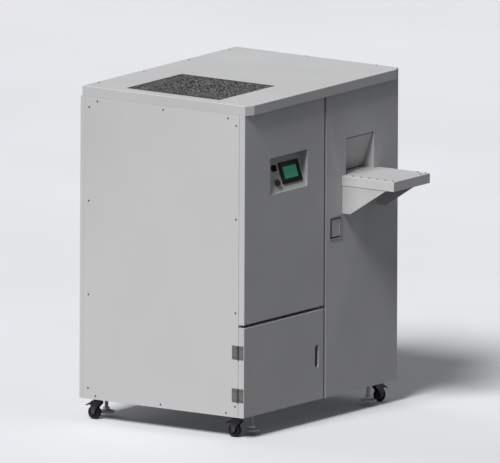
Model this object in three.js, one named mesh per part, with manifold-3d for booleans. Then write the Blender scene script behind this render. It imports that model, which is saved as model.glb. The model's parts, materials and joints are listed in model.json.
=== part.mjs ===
// A floor-standing reflow oven: a sheet-metal cabinet on casters and levelling feet, with a
// control console, an electrical door, a main door that carries the loading mouth and its tray,
// and the oven chamber, blower, exhaust fan and electrical plate inside.
// Millimetres, +Z up, front towards -Y. The origin is on the floor, in the middle of the
// machine's footprint.

import * as THREE from "three";
import { mergeVertices } from "three/addons/utils/BufferGeometryUtils.js";
import Module from "manifold-3d";

const wasm = await Module();
wasm.setup();

// Driving dimensions.
const cabinetWidth = 1076;
const cabinetDepth = 792; // from the door faces to the cover's rear edge
const bodyHeight = 1230;
const coverHeight = 40;
const casterHeight = 89;
const trayReach = 253;
const rearStandoff = 8; // the rear panel stands this far behind the cover
const sheet = 2;
const gap = 0.3; // between pieces that touch
const doorDepth = 27;
const columnWidth = 558; // the left column: console panel over electrical door
const doorEdgeX = 572; // the main door's free edge
const lowerDoorHeight = 366;
const upperPanelBottom = 378;
const curveSides = 24;
const smallSides = 12;

// The cabinet's own frame has its origin at the front, left, lower corner of the body.
const footprintDepth = trayReach + cabinetDepth + rearStandoff;
const cabinetOrigin = [-cabinetWidth / 2, trayReach - footprintDepth / 2, casterHeight];

const painted = { color: 0xbfbfbf, roughness: 0.55, metalness: 0.1 };
const steel = { color: 0x9a9c9f, roughness: 0.4, metalness: 0.8 };
const black = { color: 0x1b1b1c, roughness: 0.6, metalness: 0.0 };

// ---- Solids ----

function solid(geometry) {
  geometry.deleteAttribute("normal");
  geometry.deleteAttribute("uv");
  const merged = mergeVertices(geometry, 1e-4);
  return new wasm.Manifold(
    new wasm.Mesh({
      numProp: 3,
      vertProperties: new Float32Array(merged.attributes.position.array),
      triVerts: new Uint32Array(merged.index.array),
    }),
  );
}

function ordered(a, b) {
  return [Math.min(a, b), Math.max(a, b)];
}

function slab(x0, x1, y0, y1, z0, z1) {
  const box = new THREE.BoxGeometry(x1 - x0, y1 - y0, z1 - z0);
  return solid(box.translate((x0 + x1) / 2, (y0 + y1) / 2, (z0 + z1) / 2));
}

// A round bar along one axis; the centre gives the two other coordinates in x, y, z order.
function rod(axis, radius, from, to, [u, v], sides = smallSides) {
  const bar = new THREE.CylinderGeometry(radius, radius, to - from, sides);
  const middle = (from + to) / 2;
  if (axis === "x") return solid(bar.rotateZ(Math.PI / 2).translate(middle, u, v));
  if (axis === "y") return solid(bar.translate(u, middle, v));
  return solid(bar.rotateX(Math.PI / 2).translate(u, v, middle));
}

function outlineShape(points) {
  return new THREE.Shape(points.map(([a, b]) => new THREE.Vector2(a, b)));
}

// Flat outlines pushed along one axis. The outline is in [y, z], [x, z] or [x, y].
function pushAlongX(points, x0, x1) {
  const depth = x1 - x0;
  const shape = new THREE.ExtrudeGeometry(outlineShape(points), { depth, bevelEnabled: false });
  const turn = new THREE.Matrix4().makeBasis(
    new THREE.Vector3(0, 1, 0),
    new THREE.Vector3(0, 0, 1),
    new THREE.Vector3(1, 0, 0),
  );
  return solid(shape.applyMatrix4(turn).translate(x0, 0, 0));
}

function pushAlongY(shape, y0, y1, curveSegments) {
  const depth = y1 - y0;
  const pushed = new THREE.ExtrudeGeometry(shape, { depth, bevelEnabled: false, curveSegments });
  return solid(pushed.rotateX(Math.PI / 2).translate(0, y1, 0));
}

function pushAlongZ(points, z0, z1) {
  const depth = z1 - z0;
  const shape = new THREE.ExtrudeGeometry(outlineShape(points), { depth, bevelEnabled: false });
  return solid(shape.translate(0, 0, z0));
}

// A turned piece: the profile is in [radius, height], listed upwards on its outside.
function turned(profile, sides = curveSides) {
  const points = profile.map(([r, h]) => new THREE.Vector2(r, h));
  return solid(new THREE.LatheGeometry(points, sides).rotateX(Math.PI / 2));
}

function join(...pieces) {
  return pieces.reduce((whole, piece) => whole.add(piece));
}

function cut(blank, ...tools) {
  return tools.reduce((left, tool) => left.subtract(tool), blank);
}

function addPart(parent, name, shape, finish) {
  const mesh = shape.getMesh();
  const geometry = new THREE.BufferGeometry();
  const corners = new Float32Array(mesh.vertProperties);
  geometry.setAttribute("position", new THREE.BufferAttribute(corners, 3));
  geometry.setIndex(new THREE.BufferAttribute(new Uint32Array(mesh.triVerts), 1));
  geometry.computeVertexNormals();
  const part = new THREE.Mesh(geometry, new THREE.MeshStandardMaterial(finish));
  part.name = name;
  parent.add(part);
  return part;
}

// A folded pan with its skin at the front (towards -Y) and its back open.
function frontPan(x0, x1, z0, z1) {
  return cut(
    slab(x0, x1, 0, doorDepth, z0, z1),
    slab(x0 + sheet, x1 - sheet, sheet, doorDepth + 1, z0 + sheet, z1 - sheet),
  );
}

// ---- Frame ----

const frameFront = doorDepth + 1;
const frameRear = 783;
const frameInset = sheet + gap;
const railHeight = 50;
const railFlange = 32;
const railWall = 3;
const floorSheet = 2;
const cornerPlate = { x: 190, y: 130, thickness: 6 };

const undercarriage = {
  casterX: 52,
  footX: 130,
  middleY: 404,
  casterHalfSpacing: 341,
  footHalfSpacing: 354,
};

// Both sides and both ends, named from the front as a person at the machine sees them.
const corners = [
  { name: "front_left", side: -1, end: -1, trailAngle: 0 },
  { name: "front_right", side: 1, end: -1, trailAngle: -100 },
  { name: "rear_left", side: -1, end: 1, trailAngle: 0 },
  { name: "rear_right", side: 1, end: 1, trailAngle: -30 },
];

function acrossX(side, inset) {
  return side < 0 ? inset : cabinetWidth - inset;
}

function casterPlace({ side, end }) {
  return [
    acrossX(side, undercarriage.casterX),
    undercarriage.middleY + end * undercarriage.casterHalfSpacing,
  ];
}

function footPlace({ side, end }) {
  return [
    acrossX(side, undercarriage.footX),
    undercarriage.middleY + end * undercarriage.footHalfSpacing,
  ];
}

const stemRadius = { caster: 6, foot: 8 };
const holeClearance = 0.5;

function baseFrame() {
  const x0 = frameInset;
  const x1 = cabinetWidth - frameInset;
  const inset = (by, z0, z1) => slab(x0 + by, x1 - by, frameFront + by, frameRear - by, z0, z1);
  const ring = cut(
    inset(0, 0, railHeight),
    inset(railWall, railWall, railHeight - railWall),
    inset(railFlange, -1, railHeight + 1),
  );
  const floor = inset(1, railHeight - floorSheet, railHeight);
  const plates = corners.map(({ side, end }) => {
    const x = side < 0 ? x0 : x1;
    const y = end < 0 ? frameFront : frameRear;
    return slab(
      ...ordered(x, x - side * cornerPlate.x),
      ...ordered(y, y - end * cornerPlate.y),
      0,
      cornerPlate.thickness,
    );
  });
  const holes = corners.flatMap((corner) => [
    rod("z", stemRadius.caster + holeClearance, -1, cornerPlate.thickness + 1, casterPlace(corner)),
    rod("z", stemRadius.foot + holeClearance, -1, railHeight + 1, footPlace(corner)),
  ]);
  return join(cut(join(ring, ...plates), ...holes), floor);
}

const postLeg = 40;
const postWall = 3;
const postTop = bodyHeight - gap;

function cornerPost({ side, end }) {
  const x = acrossX(side, frameInset);
  const y = end < 0 ? frameFront : frameRear;
  const leg = (reachX, reachY) =>
    slab(
      ...ordered(x, x - side * reachX),
      ...ordered(y, y - end * reachY),
      railHeight + gap,
      postTop,
    );
  return join(leg(postLeg, postWall), leg(postWall, postLeg));
}

const partition = { x0: 530, x1: 590, channelDepth: 30 };

// The wall between the two bays, with a channel along its front edge that the doors close on.
function centrePartition() {
  const y1 = frameFront + partition.channelDepth;
  const z0 = railHeight + gap;
  const channel = cut(
    slab(partition.x0, partition.x1, frameFront, y1, z0, postTop),
    slab(partition.x0 + sheet, partition.x1 - sheet, frameFront + sheet, y1 + 1, z0 - 1, postTop + 1),
  );
  return join(channel, slab(partition.x1 - sheet, partition.x1, y1 - 1, frameRear, z0, postTop));
}

// ---- Skins ----

function sidePanel(side) {
  const outer = acrossX(side, 0);
  return slab(...ordered(outer, outer - side * sheet), frameFront, frameRear, 0, bodyHeight - gap);
}

const rearPanel = { depth: 16.6 };
const inlet = { x: 150, z: 120, radius: 12, boreRadius: 7, reach: 14, nutRadius: 18, nutDepth: 6 };

function rearSkin() {
  const y1 = cabinetDepth + rearStandoff;
  const y0 = y1 - rearPanel.depth;
  return cut(
    slab(0, cabinetWidth, y0, y1, 0, bodyHeight - gap),
    slab(sheet, cabinetWidth - sheet, y0 - 1, y1 - sheet, sheet, bodyHeight - gap - sheet),
    rod("y", inlet.radius + holeClearance, y0, y1 + 1, [inlet.x, inlet.z]),
  );
}

// The inlet gland that the mains lead would come through.
function powerInlet() {
  const face = cabinetDepth + rearStandoff;
  const inner = face - sheet;
  const centre = [inlet.x, inlet.z];
  const nut = rod("y", inlet.nutRadius, inner - gap - inlet.nutDepth, inner - gap, centre, 6);
  const barrel = rod("y", inlet.radius, inner - inlet.reach, face, centre);
  const bore = rod("y", inlet.boreRadius, inner - inlet.reach - 1, face + 1, centre);
  return cut(join(nut, barrel), bore);
}

const cover = { proud: 18, facetLength: 40 };
const vent = { x0: 56, x1: 456, y0: 164, y1: 620, lip: 12, columns: 3, rows: 15, web: 14 };

function topCover() {
  const z0 = bodyHeight;
  const z1 = bodyHeight + coverHeight;
  const outline = (inset) => [
    [inset, inset],
    [cover.facetLength, inset - cover.proud],
    [cabinetWidth - cover.facetLength, inset - cover.proud],
    [cabinetWidth - inset, inset],
    [cabinetWidth - inset, cabinetDepth - inset],
    [inset, cabinetDepth - inset],
  ];
  return cut(
    pushAlongZ(outline(0), z0, z1),
    pushAlongZ(outline(sheet), z0 - 1, z1 - sheet),
    slab(vent.x0, vent.x1, vent.y0, vent.y1, z1 - sheet - 1, z1 + 1),
  );
}

// The slotted vent plate, screwed to the cover from below.
function ventGrille() {
  const z1 = bodyHeight + coverHeight - sheet - gap;
  const plate = slab(
    vent.x0 - vent.lip,
    vent.x1 + vent.lip,
    vent.y0 - vent.lip,
    vent.y1 + vent.lip,
    z1 - sheet,
    z1,
  );
  const { web } = vent;
  const pitchX = (vent.x1 - vent.x0 - web) / vent.columns;
  const pitchY = (vent.y1 - vent.y0 - web) / vent.rows;
  const slots = [];
  for (let column = 0; column < vent.columns; column += 1) {
    for (let row = 0; row < vent.rows; row += 1) {
      const x = vent.x0 + web + column * pitchX;
      const y = vent.y0 + web + row * pitchY;
      slots.push(slab(x, x + pitchX - web, y, y + pitchY - web, z1 - sheet - 1, z1 + 1));
    }
  }
  return cut(plate, ...slots);
}

// ---- Console panel and its controls ----

const consoleRecess = {
  x0: 179,
  x1: 441,
  z0: 883,
  z1: 1031,
  bottomDepth: 6,
  topDepth: 54,
  flange: 12,
};

function upperFrontPanel() {
  const { x0, x1, z0, z1 } = consoleRecess;
  const pan = frontPan(0, columnWidth, upperPanelBottom, bodyHeight - gap);
  return cut(pan, slab(x0, x1, -1, sheet + 1, z0, z1));
}

const consoleSlope = Math.atan2(
  consoleRecess.topDepth - consoleRecess.bottomDepth,
  consoleRecess.z1 - consoleRecess.z0,
);

// The sloping face's own frame, on its middle line: +Y points into the machine along the
// normal of the face, and +Z runs up the face.
function facePlacement() {
  const depth = (consoleRecess.topDepth + consoleRecess.bottomDepth) / 2;
  const height = (consoleRecess.z0 + consoleRecess.z1) / 2;
  return new THREE.Matrix4().makeRotationX(-consoleSlope).setPosition(0, depth, height);
}

const display = {
  x: 356,
  up: -8,
  width: 136,
  height: 89,
  proud: 5,
  bodyWidth: 120,
  bodyHeight: 74,
  bodyDepth: 34,
  screenWidth: 92,
  screenHeight: 49,
  screenSink: 1.2,
  screenThickness: 3,
};
const controls = {
  x: 250,
  selectorUp: 20,
  buttonUp: -40,
  holeRadius: 11.5,
  capRadius: 14,
  shankEnd: 22,
};
const knob = { skirtFront: -5, gripFront: -17, gripHalfWidth: 4, gripHalfHeight: 13 };
const buttonCap = { front: -11, back: -5 };

function consoleBox() {
  const { x0, x1, z0, z1, bottomDepth, topDepth, flange } = consoleRecess;
  const front = sheet + gap;
  const back = [
    [front, z0 - sheet],
    [bottomDepth + 2 * sheet, z0 - sheet],
    [topDepth + sheet, z1 + sheet],
    [front, z1 + sheet],
  ];
  const hollow = [
    [-1, z0],
    [bottomDepth, z0],
    [topDepth, z1],
    [-1, z1],
  ];
  const rim = slab(x0 - flange, x1 + flange, front, front + sheet, z0 - flange, z1 + flange);
  const shell = join(pushAlongX(back, x0 - sheet, x1 + sheet), rim);
  return cut(shell, pushAlongX(hollow, x0, x1), ...consoleCutouts());
}

// Window for the display's body and holes for the two controls, square to the sloping face.
function consoleCutouts() {
  const depth = 30;
  const window = slab(
    display.x - display.bodyWidth / 2 - gap,
    display.x + display.bodyWidth / 2 + gap,
    -depth,
    depth,
    display.up - display.bodyHeight / 2 - gap,
    display.up + display.bodyHeight / 2 + gap,
  );
  const holes = [controls.selectorUp, controls.buttonUp].map((up) =>
    rod("y", controls.holeRadius + gap, -depth, depth, [controls.x, up]),
  );
  return [window, ...holes].map((tool) => tool.transform(facePlacement().elements));
}

function displayHousing() {
  const { x, up, width, height, proud } = display;
  const bezel = slab(x - width / 2, x + width / 2, -proud, -gap, up - height / 2, up + height / 2);
  const body = slab(
    x - display.bodyWidth / 2,
    x + display.bodyWidth / 2,
    -gap - 0.2,
    display.bodyDepth,
    up - display.bodyHeight / 2,
    up + display.bodyHeight / 2,
  );
  const screenSeat = slab(
    x - display.screenWidth / 2,
    x + display.screenWidth / 2,
    -proud - 1,
    -proud + display.screenSink + display.screenThickness + gap,
    up - display.screenHeight / 2,
    up + display.screenHeight / 2,
  );
  return cut(join(bezel, body), screenSeat);
}

function displayScreen() {
  const { x, up, proud, screenSink, screenThickness } = display;
  const halfWidth = display.screenWidth / 2 - gap;
  const halfHeight = display.screenHeight / 2 - gap;
  const front = -proud + screenSink;
  const back = front + screenThickness;
  return slab(x - halfWidth, x + halfWidth, front, back, up - halfHeight, up + halfHeight);
}

// A two-position knob with a grip bar, on a shank through the face.
function selectorSwitch() {
  const { x, selectorUp: up } = controls;
  const { skirtFront, gripFront, gripHalfWidth, gripHalfHeight } = knob;
  const skirt = rod("y", controls.capRadius, skirtFront, -gap, [x, up], curveSides);
  const grip = slab(
    x - gripHalfWidth,
    x + gripHalfWidth,
    gripFront,
    skirtFront + 0.5,
    up - gripHalfHeight,
    up + gripHalfHeight,
  );
  const shank = rod("y", controls.holeRadius - gap, -1, controls.shankEnd, [x, up]);
  return join(skirt, grip, shank);
}

function startButton() {
  const { x, buttonUp: up } = controls;
  const cap = rod("y", controls.capRadius, buttonCap.front, buttonCap.back, [x, up], curveSides);
  const shank = rod("y", controls.holeRadius - gap, buttonCap.back - 1, controls.shankEnd, [x, up]);
  return join(cap, shank);
}

// ---- Lower door ----

const fingerSlot = { x: 513, z: 178, width: 27, height: 94 };

function obround(x, z, width, height) {
  const radius = width / 2;
  const reach = height / 2 - radius;
  const shape = new THREE.Shape();
  shape.moveTo(x + radius, z - reach);
  shape.lineTo(x + radius, z + reach);
  shape.absarc(x, z + reach, radius, 0, Math.PI, false);
  shape.lineTo(x - radius, z - reach);
  shape.absarc(x, z - reach, radius, Math.PI, 2 * Math.PI, false);
  return shape;
}

function lowerDoor() {
  const slot = obround(fingerSlot.x, fingerSlot.z, fingerSlot.width, fingerSlot.height);
  const pan = frontPan(0, columnWidth, 0, lowerDoorHeight);
  return cut(pan, pushAlongY(slot, -1, sheet + 1, smallSides));
}

// ---- Main door with its latch and loading mouth ----

const mouth = { x0: 710, x1: 907, z0: 888, z1: 1036, depth: 58, flange: 14 };
const latch = {
  x0: 594,
  x1: 683,
  z0: 632,
  z1: 731,
  rim: 7,
  cupDepth: 20,
  paddleWidth: 56,
  paddleHeight: 71,
  paddleThickness: 4,
  paddleFront: 1,
  pivotY: 3,
  barrelRadius: 3,
  pinRadius: 1.5,
};
const latchMiddleZ = (latch.z0 + latch.z1) / 2;
const paddlePivotX = latch.x1 - latch.rim - sheet - latch.barrelRadius - 0.5;
const bolt = { y0: 10, y1: 18, halfHeight: 10, chamferX: 6, chamferY: 2, reach: 9 };

function mainDoor() {
  const pan = frontPan(doorEdgeX, cabinetWidth, 0, bodyHeight - gap);
  const mouthHole = slab(mouth.x0, mouth.x1, -1, sheet + 1, mouth.z0, mouth.z1);
  const latchHole = slab(
    latch.x0 + latch.rim - gap,
    latch.x1 - latch.rim + gap,
    -1,
    sheet + 1,
    latch.z0 + latch.rim - gap,
    latch.z1 - latch.rim + gap,
  );
  const boltHole = slab(
    doorEdgeX - 1,
    doorEdgeX + sheet + 1,
    bolt.y0 - holeClearance,
    bolt.y1 + holeClearance,
    latchMiddleZ - bolt.halfHeight - holeClearance,
    latchMiddleZ + bolt.halfHeight + holeClearance,
  );
  return cut(pan, mouthHole, latchHole, boltHole);
}

// A dished frame that is clipped into the door, with ears for the paddle's pin.
function latchFrame() {
  const { x0, x1, z0, z1, rim, cupDepth } = latch;
  const flange = slab(x0, x1, -2, -gap, z0, z1);
  const cup = slab(x0 + rim, x1 - rim, -1, cupDepth, z0 + rim, z1 - rim);
  const inset = rim + sheet;
  const dish = slab(x0 + inset, x1 - inset, -3, cupDepth - sheet, z0 + inset, z1 - inset);
  const pin = rod("z", latch.pinRadius, z0 + rim + 1, z1 - rim - 1, [paddlePivotX, latch.pivotY]);
  return join(cut(join(flange, cup), dish), pin);
}

function latchPaddle() {
  const { paddleWidth, paddleHeight, paddleThickness, paddleFront, barrelRadius } = latch;
  const axis = [paddlePivotX, latch.pivotY];
  const z0 = latchMiddleZ - paddleHeight / 2;
  const z1 = latchMiddleZ + paddleHeight / 2;
  const plate = slab(
    paddlePivotX - paddleWidth,
    paddlePivotX,
    paddleFront,
    paddleFront + paddleThickness,
    z0,
    z1,
  );
  const barrel = rod("z", barrelRadius, z0, z1, axis);
  return cut(join(plate, barrel), rod("z", latch.pinRadius + gap, z0 - 1, z1 + 1, axis));
}

// The bolt stands out of the door's edge by its reach, and slides back by as much.
function latchBolt() {
  const x1 = latch.x0 + latch.rim - gap - bolt.reach;
  const x0 = doorEdgeX - bolt.reach;
  const nose = [
    [x0 + bolt.chamferX, bolt.y0],
    [x1, bolt.y0],
    [x1, bolt.y1],
    [x0, bolt.y1],
    [x0, bolt.y1 - bolt.chamferY],
  ];
  return pushAlongZ(nose, latchMiddleZ - bolt.halfHeight, latchMiddleZ + bolt.halfHeight);
}

const flap = {
  knuckleRadius: 4,
  rodRadius: 2,
  overlap: 10,
  lift: 0.7,
  earHalfHeight: 5,
  drop: 8,
};
const flapPivot = { y: 2 * sheet + gap + flap.knuckleRadius + 0.8, z: mouth.z1 + 6 };
const flapAngle = Math.atan2(mouth.depth - sheet, mouth.z1 - mouth.z0);

// Two cheeks and a floor behind the mouth, with outward flanges that the flap closes against
// and a rod that the flap hangs on.
function loadingPocket() {
  const { x0, x1, z0, z1, depth } = mouth;
  const front = sheet + gap;
  const profile = [
    [front, z0 - sheet],
    [depth, z0 - sheet],
    [depth, z0],
    [front, z1],
  ];
  const cheeks = cut(
    pushAlongX(profile, x0 - sheet, x1 + sheet),
    slab(x0, x1, -1, depth + 2, z0, z1 + 1),
  );
  const outerX = [x0 - mouth.flange, x1 + mouth.flange];
  const rimTop = flapPivot.z + 12;
  const rim = cut(
    slab(...outerX, front, front + sheet, z0 - mouth.flange, rimTop),
    slab(x0, x1, front - 1, front + sheet + 1, z0, z1),
  );
  const earReach = flapPivot.y + flap.knuckleRadius + 1;
  const earZ = [flapPivot.z - flap.earHalfHeight, flapPivot.z + flap.earHalfHeight];
  const ears = [outerX[0], outerX[1] - sheet].map((x) =>
    slab(x, x + sheet, front, earReach, ...earZ),
  );
  const hangingRod = rod("x", flap.rodRadius, ...outerX, [flapPivot.y, flapPivot.z]);
  return join(cheeks, rim, ...ears, hangingRod);
}

// The flap lies on the cheeks' sloping edges and swings inwards.
function loadingFlap() {
  const { x0, x1, z0, z1, depth } = mouth;
  const { lift, overlap, drop, rodRadius, knuckleRadius } = flap;
  const down = [Math.sin(flapAngle), -Math.cos(flapAngle)];
  const inwards = [Math.cos(flapAngle), Math.sin(flapAngle)];
  // A point some way down the slope and some way in from it.
  const place = (s, t) => [
    sheet + gap + down[0] * s + inwards[0] * t,
    z1 + down[1] * s + inwards[1] * t,
  ];
  const length = Math.hypot(depth - sheet, z1 - z0) - 3;
  const section = [
    place(drop, lift),
    place(drop, lift + sheet),
    place(length, lift + sheet),
    place(length, lift),
  ];
  const plate = pushAlongX(section, x0 - overlap, x1 + overlap);
  const neck = pushAlongX(
    [
      [flapPivot.y + 1, flapPivot.z],
      [flapPivot.y + knuckleRadius, flapPivot.z],
      place(drop + 4, lift + sheet),
      place(drop + 2, lift + 0.2),
    ],
    x0,
    x1,
  );
  const knuckle = rod("x", knuckleRadius, x0, x1, [flapPivot.y, flapPivot.z]);
  const bore = rod("x", rodRadius + gap, x0 - 1, x1 + 1, [flapPivot.y, flapPivot.z]);
  return cut(join(plate, neck, knuckle), bore);
}

// ---- Tray and its brackets ----

const tray = { x0: 683, x1: 936, skirt: 40, top: 888 };
const bracket = { height: 114, topDepth: 214, footDepth: 39, flange: 29 };

function loadingTray() {
  const z0 = tray.top - tray.skirt;
  return cut(
    slab(tray.x0, tray.x1, -trayReach, -gap, z0, tray.top),
    slab(tray.x0 + sheet, tray.x1 - sheet, -trayReach + sheet, -gap - sheet, z0 - 1, tray.top - sheet),
  );
}

// A gusset whose upper part nests inside the tray's skirt, with a flange along the door.
function trayBracket(side) {
  const outer = side < 0 ? tray.x0 + sheet + gap : tray.x1 - sheet - gap;
  const skirtBottom = tray.top - tray.skirt;
  const foot = skirtBottom - bracket.height;
  const shoulder = skirtBottom - 1;
  const top = tray.top - sheet - gap;
  const inside = gap + sheet + gap;
  const web = [
    [-bracket.footDepth, foot],
    [-gap, foot],
    [-gap, shoulder],
    [-inside, shoulder],
    [-inside, top],
    [-bracket.topDepth, top],
    [-bracket.topDepth, skirtBottom],
  ];
  const plate = pushAlongX(web, ...ordered(outer, outer - side * sheet));
  const flangeX = ordered(outer, outer - side * bracket.flange);
  const flange = slab(...flangeX, -gap - sheet, -gap, foot, shoulder);
  return join(plate, flange);
}

// ---- Hinges ----

const hinge = {
  height: 54,
  leafDepth: 28,
  movingLeafDepth: 24,
  leafThickness: 3,
  knuckleRadius: 4,
  pinRadius: 2,
  clear: 5, // beside the knuckles of the other leaf
};
const hingeOut = gap + hinge.knuckleRadius;
const hingeY = doorDepth + 0.5;
const lowerDoorHingeZ = [92, 266];
const mainDoorHingeZ = [115, 1139];

function hingeAxisX(side) {
  return side < 0 ? -hingeOut : cabinetWidth + hingeOut;
}

function leafPlate(side, y0, y1, z) {
  const face = side < 0 ? -gap : cabinetWidth + gap;
  return slab(
    ...ordered(face, face + side * hinge.leafThickness),
    y0,
    y1,
    z - hinge.height / 2,
    z + hinge.height / 2,
  );
}

// The fixed leaf carries the two outer knuckles and the pin.
function fixedLeaf(side, z) {
  const axis = [hingeAxisX(side), hingeY];
  const third = hinge.height / 6;
  const plate = leafPlate(side, hingeY + 1, hingeY + 1 + hinge.leafDepth, z);
  const reach = 2 * hingeOut;
  const notch = slab(
    axis[0] - reach,
    axis[0] + reach,
    hingeY,
    hingeY + hinge.clear,
    z - third - gap,
    z + third + gap,
  );
  const knuckles = [-1, 1].map((end) =>
    rod("z", hinge.knuckleRadius, ...ordered(z + end * (third + gap), z + end * 3 * third), axis),
  );
  const pin = rod("z", hinge.pinRadius, z - hinge.height / 2, z + hinge.height / 2, axis);
  return join(cut(plate, notch), ...knuckles, pin);
}

// The moving leaf carries the middle knuckle.
function movingLeaf(side, z) {
  const axis = [hingeAxisX(side), hingeY];
  const third = hinge.height / 6;
  const { clear } = hinge;
  const reach = 2 * hingeOut;
  const plate = leafPlate(side, hingeY - 1 - hinge.movingLeafDepth, hingeY - 1, z);
  const notches = [-1, 1].map((end) =>
    slab(
      axis[0] - reach,
      axis[0] + reach,
      hingeY - clear,
      hingeY + clear,
      ...ordered(z + end * (third - gap), z + end * hinge.height),
    ),
  );
  const knuckle = rod("z", hinge.knuckleRadius, z - third + gap, z + third - gap, axis);
  const web = slab(
    ...ordered(axis[0], axis[0] - side * (hingeOut - gap)),
    hingeY - clear - 1,
    hingeY - 0.8,
    z - third + gap,
    z + third - gap,
  );
  const bore = rod("z", hinge.pinRadius + gap, z - hinge.height, z + hinge.height, axis);
  return cut(join(cut(plate, ...notches), knuckle, web), bore);
}

// ---- Casters and feet, each in a frame on the floor under its own axis ----

const caster = {
  wheelRadius: 27,
  wheelWidth: 18,
  trail: 16,
  axleRadius: 4,
  legThickness: 3,
  headRadius: 20,
  crownBottom: 69,
  crownTop: 75,
  crownHalf: 18,
  stemReach: 16,
  pedalPivot: [22, 61],
};

function casterFork() {
  const { wheelWidth, legThickness, trail, wheelRadius, crownBottom, crownTop, crownHalf } = caster;
  const inner = wheelWidth / 2 + 1;
  const outer = inner + legThickness;
  // Down to just under the axle, back up to the crown, which leads the wheel.
  const leg = [
    [trail - 8, wheelRadius - 7],
    [trail + 8, wheelRadius - 7],
    [trail + 14, crownBottom - 9],
    [trail + 12, crownBottom],
    [trail + 4, crownTop],
    [-crownHalf, crownTop],
    [-crownHalf, crownBottom - 3],
  ];
  const legs = [-outer, inner].map((x) => pushAlongX(leg, x, x + legThickness));
  const crown = slab(-outer, outer, -crownHalf, crownHalf, crownBottom, crownTop);
  const head = rod("z", caster.headRadius, crownTop - 1, casterHeight - gap, [0, 0], curveSides);
  const stemTop = casterHeight + caster.stemReach;
  const stem = rod("z", stemRadius.caster, casterHeight - 2, stemTop, [0, 0]);
  const axle = rod("x", caster.axleRadius, -outer - 2, outer + 2, [trail, wheelRadius]);
  return join(...legs, crown, head, stem, axle);
}

// A tyred wheel with dished sides, turned about its axle.
function casterWheel() {
  const half = caster.wheelWidth / 2;
  const bore = caster.axleRadius + gap;
  const rim = caster.wheelRadius;
  const hub = 9;
  const dish = 3;
  const tread = 7;
  const lowerHalf = [
    [bore, -half],
    [hub, -half],
    [hub + 2, dish - half],
    [rim - tread, dish - half],
    [rim - tread + 2, -half],
    [rim, 2 - half],
  ];
  const upperHalf = lowerHalf.map(([r, h]) => [r, -h]).reverse();
  const profile = [...lowerHalf, ...upperHalf, lowerHalf[0]];
  const turn = new THREE.Matrix4().makeRotationY(Math.PI / 2);
  const place = new THREE.Matrix4().makeTranslation(0, caster.trail, rim);
  return turned(profile).transform(place.multiply(turn).elements);
}

function brakePedal() {
  const [y, z] = caster.pedalPivot;
  const halfWidth = caster.wheelWidth / 2 + 1 - gap;
  const barrel = rod("x", 4.5, -halfWidth, halfWidth, [y, z]);
  const half = 3.5;
  // Level over the wheel, then turned down to the tip.
  const outline = [
    [y, z - half],
    [y + 14, z - half],
    [y + 30, z - 9],
    [y + 31, z - 5],
    [y + 14, z + half],
    [y, z + half],
  ];
  const lever = pushAlongX(outline, -halfWidth, halfWidth);
  return join(barrel, lever);
}

const footPad = { radius: 34, bottom: 16, edge: 6, neckRadius: 13, neckBottom: 12, neckTop: 22 };
const stemInside = 22; // leaves room under the floor sheet for the stem to rise

function levellingFoot() {
  const { radius, bottom, edge, neckRadius, neckBottom, neckTop } = footPad;
  const r = stemRadius.foot;
  return turned([
    [0, bottom],
    [radius, bottom],
    [radius, bottom + edge],
    [neckRadius, bottom + neckBottom],
    [neckRadius, bottom + neckTop],
    [r, bottom + neckTop],
    [r, casterHeight + stemInside],
    [0, casterHeight + stemInside],
  ]);
}

// ---- Oven, blower, fan and electrics ----

const chamber = { x0: 612, x1: 1036, y0: 72, y1: 640, z0: 800, z1: 1118, wall: 3 };
const chamberMouth = { x0: 688, x1: 929, z0: 866, z1: 1076 };
const blower = {
  x: 824,
  y: 380,
  shaftRadius: 6,
  hubRadius: 14,
  wheelRadius: 90,
  wheelHeight: 34,
  plateThickness: 3,
  bladeThickness: 2.4,
  blades: 12,
};

// A steel box that is open at its front, with ears that are bolted to the partition and to
// the side.
function ovenChamber() {
  const { x0, x1, y0, y1, z0, z1, wall } = chamber;
  const shell = cut(
    slab(x0, x1, y0, y1, z0, z1),
    slab(x0 + wall, x1 - wall, y0 + wall, y1 - wall, z0 + wall, z1 - wall),
    slab(chamberMouth.x0, chamberMouth.x1, y0 - 1, y0 + wall + 1, chamberMouth.z0, chamberMouth.z1),
    rod("z", blower.shaftRadius + 1, z1 - wall - 1, z1 + 1, [blower.x, blower.y]),
  );
  const earWidth = 40;
  const earLevels = [z0 + 30, z1 - 60];
  const ears = earLevels.flatMap((z) =>
    [y0 + 40, y1 - 80].flatMap((y) => [
      slab(partition.x1 + gap, x0 + 1, y, y + earWidth, z, z + wall),
      slab(x1 - 1, cabinetWidth - sheet - gap, y, y + earWidth, z, z + wall),
    ]),
  );
  return join(shell, ...ears);
}

const rack = { bar: 6, top: tray.top - 6, front: chamber.y0 + 62, crossBars: 9 };

// A rack of square bars that the boards slide on, standing on four legs.
function boardRack() {
  const { bar, crossBars } = rack;
  const x0 = chamber.x0 + chamber.wall + 2;
  const x1 = chamber.x1 - chamber.wall - 2;
  const y0 = rack.front;
  const y1 = chamber.y1 - chamber.wall - 4;
  const z1 = rack.top;
  const z0 = z1 - bar;
  const floor = chamber.z0 + chamber.wall + gap;
  const pieces = [x0, x1 - bar].flatMap((x) => [
    slab(x, x + bar, y0, y1, z0, z1),
    ...[y0, y1 - bar].map((y) => slab(x, x + bar, y, y + bar, floor, z0 + 1)),
  ]);
  for (let i = 0; i < crossBars; i += 1) {
    const y = y0 + ((y1 - y0 - bar) * i) / (crossBars - 1);
    pieces.push(slab(x0, x1, y, y + bar, z0, z1));
  }
  return join(...pieces);
}

const heater = { passes: 6, pitch: 58, inset: 40, front: chamber.y0 + 190, z: 1040, radius: 4 };

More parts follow.
